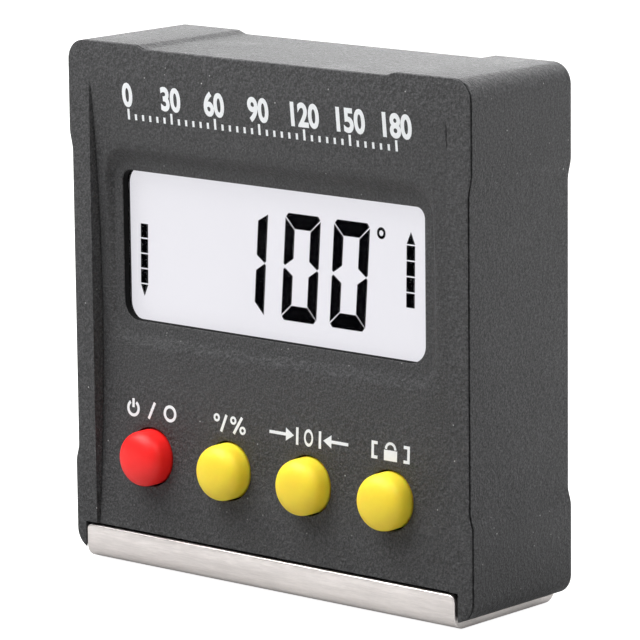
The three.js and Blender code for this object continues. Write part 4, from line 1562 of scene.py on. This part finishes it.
@dataclass
class Segments:
    """The display's reading: slanted seven-segment figures, a degree ring and two bar arrows."""

    shop: Shop
    plane: float
    thickness: float = 0.03
    low: float = 31.25
    high: float = 43.65
    digit_width: float = 5.25
    stroke: float = 1.44
    bar: float = 1.76
    gap: float = 0.15
    mitre: float = 0.85
    slant: float = 0.073
    rights: tuple[float, ...] = (-2.72, 5.19, 12.44)
    ring_centre: Point2 = (14.5, 42.75)
    ring_radius: float = 0.67
    ring_line: float = 0.34
    ring_squeeze: float = 0.92
    right_drop: float = 0.12
    right_tip: float = 0.1
    arrow_lean: float = 0.018
    arrow_pitch: float = 1.79
    arrow_point: float = 1.36
    arrow_space: float = 0.16
    arrow_blocks: int = 4
    down_arrow: Point3 = (-21.55, 1.13, 40.1)
    up_arrow: Point3 = (18.8, 1.2, 43.3)
    tip_share: float = 0.16
    tip_rise: float = 0.2
    one_top: Point2 = (0.52, 1.35)
    one_foot: Point2 = (0.22, 1.6)
    zero_end: float = 0.58
    zero_corner: Point2 = (0.08, 0.42)

    def build(self) -> bpy.types.Object:
        """Makes every dark segment as one thin piece on the glass."""
        relief = Relief(lambda x, z: self.plane, self.thickness)
        mid = (self.low + self.high) / 2
        figures = [self._one(self.rights[0])] + [self._zero(right) for right in self.rights[1:]]
        for figure in figures:
            for shape in figure:
                relief.plate([(x + (z - mid) * self.slant, z) for x, z in shape])
        relief.ring(self.ring_centre, self.ring_radius, self.ring_line, self.ring_squeeze)
        for shape in self._arrow(*self.down_arrow, -1) + self._arrow(*self.up_arrow, 1):
            relief.plate(shape)
        piece = relief.builder.build("lcd_segments", CREASE)
        return self.shop.place(piece, Finish.SEGMENT, slot="lcd_glass")

    def _upright(self, edge: float, inner: float, ends: Point2, way: int) -> list[Point2]:
        """One upright segment.

        Args:
            edge: X of its outer edge.
            inner: X of its inner edge.
            ends: Z where those two edges end, away from the middle of the figure.
            way: 1 for the upper half, -1 for the lower half.

        Returns:
            Its outline.
        """
        mid = (self.low + self.high) / 2
        tip = edge + (inner - edge) * self.tip_share
        gap = self.gap - (self.right_tip if edge > inner else 0.0)
        return [
            (edge, ends[0]),
            (edge, mid + way * (gap + self.tip_rise)),
            (tip, mid + way * gap),
            (inner, mid + way * (gap + self.mitre)),
            (inner, ends[1]),
        ]

    def _one(self, right: float) -> list[list[Point2]]:
        """The figure 1."""
        inner = right - self.stroke
        top = (self.high - self.one_top[0], self.high - self.one_top[1])
        foot = (self.low + self.one_foot[0], self.low + self.one_foot[1])
        return [self._upright(right, inner, top, 1), self._upright(right, inner, foot, -1)]

    def _zero(self, right: float) -> list[list[Point2]]:
        """The figure 0: four uprights and two mitred bars."""
        left = right - self.digit_width
        side, rise = self.zero_corner
        shapes = []
        for end, way in ((self.high, 1), (self.low, -1)):
            for edge, inner in ((right, right - self.stroke), (left, left + self.stroke)):
                drop = self.right_drop if way < 0 and edge > inner else 0.0
                ends = (end - way * (self.zero_end - drop), end - way * (self.bar + self.gap))
                shapes.append(self._upright(edge, inner, ends, way))
            shapes.append([
                (left + side, end - way * rise),
                (left + rise, end),
                (right - rise, end),
                (right - side, end - way * rise),
                (right - self.stroke, end - way * self.bar),
                (left + self.stroke, end - way * self.bar),
            ])
        return shapes

    def _arrow(self, x: float, wide: float, top: float, way: int) -> list[list[Point2]]:
        """A column of blocks with a point at one end; way is -1 for down and 1 for up."""
        shapes = []
        half, pitch, point, space = wide / 2, self.arrow_pitch, self.arrow_point, self.arrow_space
        first = top if way < 0 else top - point - space
        for i in range(self.arrow_blocks):
            high, low = first - i * pitch, first - (i + 1) * pitch + space
            shapes.append([(x - half, low), (x + half, low), (x + half, high), (x - half, high)])
        base = first - self.arrow_blocks * pitch if way < 0 else top - point
        shapes.append([(x - half, base), (x + half, base), (x, base + way * point)])
        return [[(u + (v - top) * self.arrow_lean, v) for u, v in shape] for shape in shapes]


@dataclass
class PrintedMarks:
    """White print on the front: a degree scale along the top and a symbol over each key."""

    shop: Shop
    shape: FrontShape
    keys: list[Point2]
    proud: float = 0.02
    line: float = 0.36
    scale_left: float = -20.8
    scale_right: float = 19.4
    scale_low: float = 52.75
    short_tick: float = 0.7
    long_tick: float = 1.25
    tick_width: float = 0.32
    ticks: int = 37
    ticks_per_number: int = 6
    number_height: float = 2.6
    number_low: float = 54.35
    number_weight: float = 0.13
    number_width: float = 0.84
    capital_share: float = 0.7
    number_steps: int = 6
    degrees_per_tick: int = 5
    symbol_height: float = 18.65
    half: float = 1.0
    small_ring: float = 0.48
    thin: float = 0.75

    def build(self) -> None:
        """Makes the scale and the symbols."""
        self._scale()
        self._symbols()

    def _laid(self, obj: bpy.types.Object) -> bpy.types.Object:
        """Lays a flat piece that stands at Y 0 onto the front's curve."""
        for vertex in obj.data.vertices:
            x, z = vertex.co.x / MM, vertex.co.z / MM
            side = -self.proud if vertex.co.y < 0 else self.proud / 2
            vertex.co.y = (self.shape.panel(x, z) + side) * MM
        tidy(obj, CREASE)
        return obj

    def _scale(self) -> None:
        """Makes the ticks and the numbers of the degree scale."""
        pitch = (self.scale_right - self.scale_left) / (self.ticks - 1)
        ticks = TickRow().build(
            "scale_ticks",
            count=self.ticks,
            every=self.ticks_per_number,
            pitch=pitch * MM,
            width=self.tick_width * MM,
            short=self.short_tick * MM,
            long=self.long_tick * MM,
            thickness=self.proud * MM,
        )
        ticks.data.transform(Matrix.Translation(Vector((self.scale_left, 0.0, self.scale_low)) * MM))
        self.shop.place(self._laid(ticks), Finish.PRINT)
        for i in range(0, self.ticks, self.ticks_per_number):
            number = self._number(str(i * self.degrees_per_tick), self.scale_left + i * pitch)
            self.shop.place(number, Finish.PRINT)

    def _number(self, text: str, x: float) -> bpy.types.Object:
        """Makes one bold number, centred on its tick."""
        curve = bpy.data.curves.new("number", "FONT")
        curve.body = text
        curve.align_x = "CENTER"
        curve.size = self.number_height / self.capital_share * MM
        curve.offset = self.number_weight * MM
        curve.extrude = self.proud * MM
        curve.resolution_u = self.number_steps
        name = "scale_number_" + text
        writing = new_object(name, curve)
        bpy.context.view_layer.update()
        evaluated = writing.evaluated_get(bpy.context.evaluated_depsgraph_get())
        mesh = bpy.data.meshes.new_from_object(evaluated)
        bpy.data.objects.remove(writing)
        narrow = Matrix.Diagonal((self.number_width, 1.0, 1.0, 1.0))
        upright = Matrix.Rotation(math.pi / 2, 4, "X")
        mesh.transform(Matrix.Translation(Vector((x, 0.0, self.number_low)) * MM) @ upright @ narrow)
        obj = new_object(name, mesh)
        return self._laid(obj)

    def _symbols(self) -> None:
        """Makes the on-off, unit, zero and lock symbols over the four keys."""
        makers = (self._power, self._unit, self._zero, self._lock)
        names = ("power_symbol", "unit_symbol", "zero_symbol", "lock_symbol")
        for (x, _), maker, name in zip(self.keys, makers, names):
            relief = Relief(self.shape.panel, self.proud, self.proud / 2)
            maker(relief, x, self.symbol_height)
            self.shop.place(relief.builder.build(name, CREASE), Finish.PRINT)

    def _power(self, relief: Relief, x: float, z: float) -> None:
        """A broken ring with a bar, a stroke and a ring."""
        relief.ring((x - 2.9, z - 0.05), self.half, self.line, open_half=32)
        relief.stroke((x - 2.9, z + 0.05), (x - 2.9, z + 1.1), self.line)
        relief.stroke((x - 0.45, z - self.half), (x + 0.5, z + self.half), self.line)
        relief.ring((x + 2.9, z), self.half, self.line)

    def _unit(self, relief: Relief, x: float, z: float) -> None:
        """A degree ring, a stroke and a per cent sign."""
        relief.ring((x - 1.9, z + 0.55), self.small_ring, self.line * self.thin)
        relief.stroke((x - 1.2, z - self.half), (x - 0.4, z + self.half), self.line)
        relief.ring((x + 0.65, z + 0.5), self.small_ring, self.line * self.thin)
        relief.stroke((x + 0.75, z - self.half), (x + 2.0, z + self.half), self.line)
        relief.ring((x + 2.1, z - 0.5), self.small_ring, self.line * self.thin)

    def _zero(self, relief: Relief, x: float, z: float) -> None:
        """A nought between two bars, with an arrow to each bar."""
        relief.ring((x, z), self.half, self.line, squeeze=0.68)
        for way in (-1, 1):
            relief.stroke((x + way * 1.7, z - self.half), (x + way * 1.7, z + self.half), self.line)
            relief.stroke((x + way * 3.3, z), (x + way * 5.9, z), self.line)
            tip, back = x + way * 2.2, x + way * 3.4
            relief.plate([(tip, z), (back, z + 0.75 * way), (back, z - 0.75 * way)])

    def _lock(self, relief: Relief, x: float, z: float) -> None:
        """A padlock between brackets."""
        left, right, low, high = x - 0.95, x + 0.95, z - self.half, z + 0.2
        relief.plate([(left, low), (right, low), (right, high), (left, high)])
        shackle = arc(x, z + 0.3, 0.68, 0, 180, 14)
        for start, end in zip(shackle, shackle[1:]):
            relief.stroke(start, end, self.line * 0.85)
        for way in (-1, 1):
            edge, foot = x + way * 2.6, x + way * 1.9
            relief.stroke((edge, z - self.half), (edge, z + self.half), self.line)
            for end in (-1, 1):
                level = z + end * (self.half - self.line / 2)
                relief.stroke((edge, level), (foot, level), self.line)


# --------------------------------------------------------------------------------------------------
# Studio
# --------------------------------------------------------------------------------------------------


@dataclass(frozen=True)
class CameraPlan:
    """Where the camera stands: angles in degrees, distances in millimetres."""

    azimuth: float = 41.081
    elevation: float = 10.794
    roll: float = -0.616
    distance: float = 532.9
    aim_height: float = 30.0
    slide: Point2 = (-0.389, -0.401)
    focal_in_frame_widths: float = 7.27834375
    sensor: float = 36.0
    clip: Point2 = (0.01, 50.0)

    def build(self) -> bpy.types.Object:
        """Makes the camera and makes it the scene's."""
        a, e, r = (math.radians(v) for v in (self.azimuth, self.elevation, self.roll))
        back = Vector((math.sin(a) * math.cos(e), -math.cos(a) * math.cos(e), math.sin(e)))
        side = Vector((math.cos(a), math.sin(a), 0.0))
        up = back.cross(side)
        right = side * math.cos(r) + up * math.sin(r)
        top = up * math.cos(r) - side * math.sin(r)
        place = Vector((0, 0, self.aim_height)) - right * self.slide[0] - top * self.slide[1]
        place += back * self.distance
        data = bpy.data.cameras.new("camera")
        data.sensor_width = self.sensor
        data.lens = self.focal_in_frame_widths * self.sensor
        data.clip_start, data.clip_end = self.clip
        camera = new_object("camera", data)
        turn = Matrix((right, top, back)).transposed().to_4x4()
        camera.matrix_world = Matrix.Translation(place * MM) @ turn
        bpy.context.scene.camera = camera
        return camera


@dataclass(frozen=True)
class SoftLight:
    """A rectangular soft light that looks at the gauge."""

    name: str
    azimuth: float
    elevation: float
    distance: float
    width: float
    height: float
    power: float
    target: Point3 = (0.0, 0.0, 0.03)

    def build(self) -> bpy.types.Object:
        """Makes the light."""
        a, e = math.radians(self.azimuth), math.radians(self.elevation)
        way = Vector((math.sin(a) * math.cos(e), -math.cos(a) * math.cos(e), math.sin(e)))
        data = bpy.data.lights.new(self.name, "AREA")
        data.shape = "RECTANGLE"
        data.size, data.size_y = self.width, self.height
        data.energy = self.power
        light = new_object(self.name, data)
        turn = way.to_track_quat("Z", "Y").to_matrix().to_4x4()
        light.matrix_world = Matrix.Translation(Vector(self.target) + way * self.distance) @ turn
        return light


@dataclass(frozen=True)
class Studio:
    """A pale floor, a white surround and soft lights."""

    surround: float = 0.1
    floor_glow: float = 0.95
    # Glow the floor shows only in reflections, weaker near the gauge: a painted reflection with a painted
    # shadow close to the gauge.
    floor_shine: Point2 = (0.15, 1.15)
    shine_reach: Point2 = (0.009, 0.034)
    floor_tone: float = 0.35
    floor_roughness: float = 0.9
    floor_specular: float = 0.1
    floor_reach: float = 12.0
    floor_level: float = -0.0002
    lights: tuple[SoftLight, ...] = (
        SoftLight("key", -40, 57, 0.27, 0.22, 0.22, 1.28),
        SoftLight("side", 100, 53, 0.29, 0.18, 0.18, 1.0),
        SoftLight("back", 221, 22, 1.0, 1.4, 0.8, 14.0),
    )

    def build(self) -> None:
        """Makes the floor, the surround and the lights."""
        scene = bpy.context.scene
        scene.view_settings.view_transform = "Standard"
        world = bpy.data.worlds.new("surround")
        scene.world = world
        world.use_nodes = True
        tree = world.node_tree
        sky = tree.nodes["Background"]
        sky.inputs["Color"].default_value = (1.0, 1.0, 1.0, 1.0)
        sight = tree.nodes.new("ShaderNodeLightPath").outputs["Is Camera Ray"]
        strength = math_node(tree, "MULTIPLY_ADD", sight, 1.0 - self.surround, self.surround)
        tree.links.new(strength, sky.inputs["Strength"])
        self._floor()
        for light in self.lights:
            light.build()

    def _floor(self) -> None:
        """A large pale floor under the gauge that looks white, with a painted reflection glow that is dimmer
        near the gauge.
        """
        mesh = bpy.data.meshes.new("floor")
        far, level = self.floor_reach, self.floor_level
        corners = [(-far, -far, level), (far, -far, level), (far, far, level), (-far, far, level)]
        mesh.from_pydata(corners, [], [(0, 1, 2, 3)])
        floor = new_object("floor", mesh)
        material = bpy.data.materials.new("floor_paper")
        material.use_nodes = True
        shader = material.node_tree.nodes["Principled BSDF"]
        tone = self.floor_tone
        shader.inputs["Base Color"].default_value = (tone, tone, tone, 1.0)
        shader.inputs["Roughness"].default_value = self.floor_roughness
        shader.inputs["Specular IOR Level"].default_value = self.floor_specular
        shader.inputs["Emission Color"].default_value = (1.0, 1.0, 1.0, 1.0)
        tree = material.node_tree
        path = tree.nodes.new("ShaderNodeLightPath").outputs
        place = tree.nodes.new("ShaderNodeTexCoord").outputs["Object"]
        split = put(tree, "ShaderNodeSeparateXYZ", Vector=place)
        out = math_node(tree, "ABSOLUTE", split.outputs[1])
        # Painted reflection: glossy rays see a glow that is dimmer near the gauge, a painted shadow in what
        # the steel reflects.
        shine = map_range(tree, out, *self.shine_reach, *self.floor_shine)
        seen = math_node(tree, "MULTIPLY", path["Is Camera Ray"], self.floor_glow)
        glow = math_node(tree, "MULTIPLY_ADD", path["Is Glossy Ray"], shine, seen)
        tree.links.new(glow, shader.inputs["Emission Strength"])
        mesh.materials.append(material)


# --------------------------------------------------------------------------------------------------
# Assembly
# --------------------------------------------------------------------------------------------------

LENS_MARGIN = 1.1
WINDOW_CORNERS = (1.3, 2.2)
LIP_GAPS = (0.15, 0.45)
DOOR_GAP = 0.3
DOOR_CORNERS = (1.2, 1.2)
DOOR_DEPTH = 1.5
FLANGE_GAP = 0.1
SEGMENT_GAP = 0.01

KEYS = {
    "power_button": ("power_key", Finish.RED, "red_rubber"),
    "unit_button": ("unit_key", Finish.YELLOW, "yellow_rubber"),
    "calibrate_button": ("calibrate_key", Finish.YELLOW, "yellow_rubber"),
    "hold_button": ("hold_key", Finish.YELLOW, "yellow_rubber"),
}

SIDES = ("left", "right")

CARRIED = {
    "display_gasket": Finish.GASKET,
    "display_lens": Finish.WINDOW,
    "lcd_panel": Finish.GLASS,
    "lcd_diffuser": Finish.DIFFUSER,
    "lcd_connector": Finish.CONNECTOR,
    "circuit_board": Finish.BOARD,
    **{"board_screw_" + side: Finish.SCREW for side in SIDES},
    **dict.fromkeys(("controller_chip", "tilt_sensor", "buzzer"), Finish.CHIP),
    "crystal": Finish.CAN,
    "battery_holder": Finish.HOLDER,
    "coin_cell": Finish.CELL,
    "battery_contact": Finish.CONTACT,
    **{"snap_dome_" + number: Finish.CONTACT for number in "1234"},
    "keypad_mat": Finish.MAT,
    **{f"case_screw_{end}_{side}": Finish.CASE_SCREW for end in ("lower", "upper") for side in SIDES},
    **{"magnet_" + place: Finish.MAGNET for place in ("left", "middle", "right")},
}


def middles(names: Iterable[str], second: str) -> list[Point2]:
    """The middle of each CAD node's box, as its X and the named second coordinate."""
    return [(Span.of(name).centre.x, getattr(Span.of(name).centre, second)) for name in names]


def main() -> None:
    """Builds the finished gauge piece by piece."""
    logging.basicConfig(level=logging.INFO, format="%(name)s: %(message)s")
    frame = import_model()
    shop = Shop()
    CameraPlan().build()
    Studio().build()
    cover, housing = Span.of("front_cover"), Span.of("rear_housing")
    outline = CaseOutline(housing.high.x, housing.high.z, housing.low.z)
    shape = FrontShape(cover.low.y)
    lens = Span.of("display_lens")
    x0, x1 = lens.low.x + LENS_MARGIN, lens.high.x - LENS_MARGIN
    window = RoundBox(x0, x1, lens.low.z + LENS_MARGIN, lens.high.z - LENS_MARGIN, *WINDOW_CORNERS)
    keys = middles(KEYS, "z")
    screws = middles([name for name in CARRIED if name.startswith("case_screw")], "z")
    magnets = middles([name for name in CARRIED if name.startswith("magnet")], "y")
    plate = Span.of("base_channel")
    recess = LipRecess(plate.low.x - LIP_GAPS[0], plate.high.x + LIP_GAPS[1])
    front = FrontCover(shop, outline, shape, window, keys, screws, recess, cover.high.y)
    front.build()
    front.build_wall_shade()
    door = Span.of("battery_cover")
    bay = RoundBox(door.low.x, door.high.x, door.low.z, door.high.z, *DOOR_CORNERS).grown(DOOR_GAP)
    RearHousing(shop, outline, housing.low.y, housing.high.y, bay, screws, magnets, recess).build()
    BatteryDoor(shop, bay, housing.high.y - DOOR_DEPTH, door.high.y).build(RibRow())
    BaseChannel(shop, plate).build()
    flange_front = cover.low.y + front.thickness + FLANGE_GAP
    for name, (body, finish, slot) in KEYS.items():
        Key(shop, name, body, finish, slot, flange_front).build()
    Segments(shop, Span.of("lcd_panel").low.y - SEGMENT_GAP).build()
    PrintedMarks(shop, shape, keys).build()
    for name, finish in CARRIED.items():
        shop.wardrobe.dress(frame["nodes"][name], finish)
        log.info("%s: finish %s", name, finish.name)


if __name__ == "__main__":
    main()
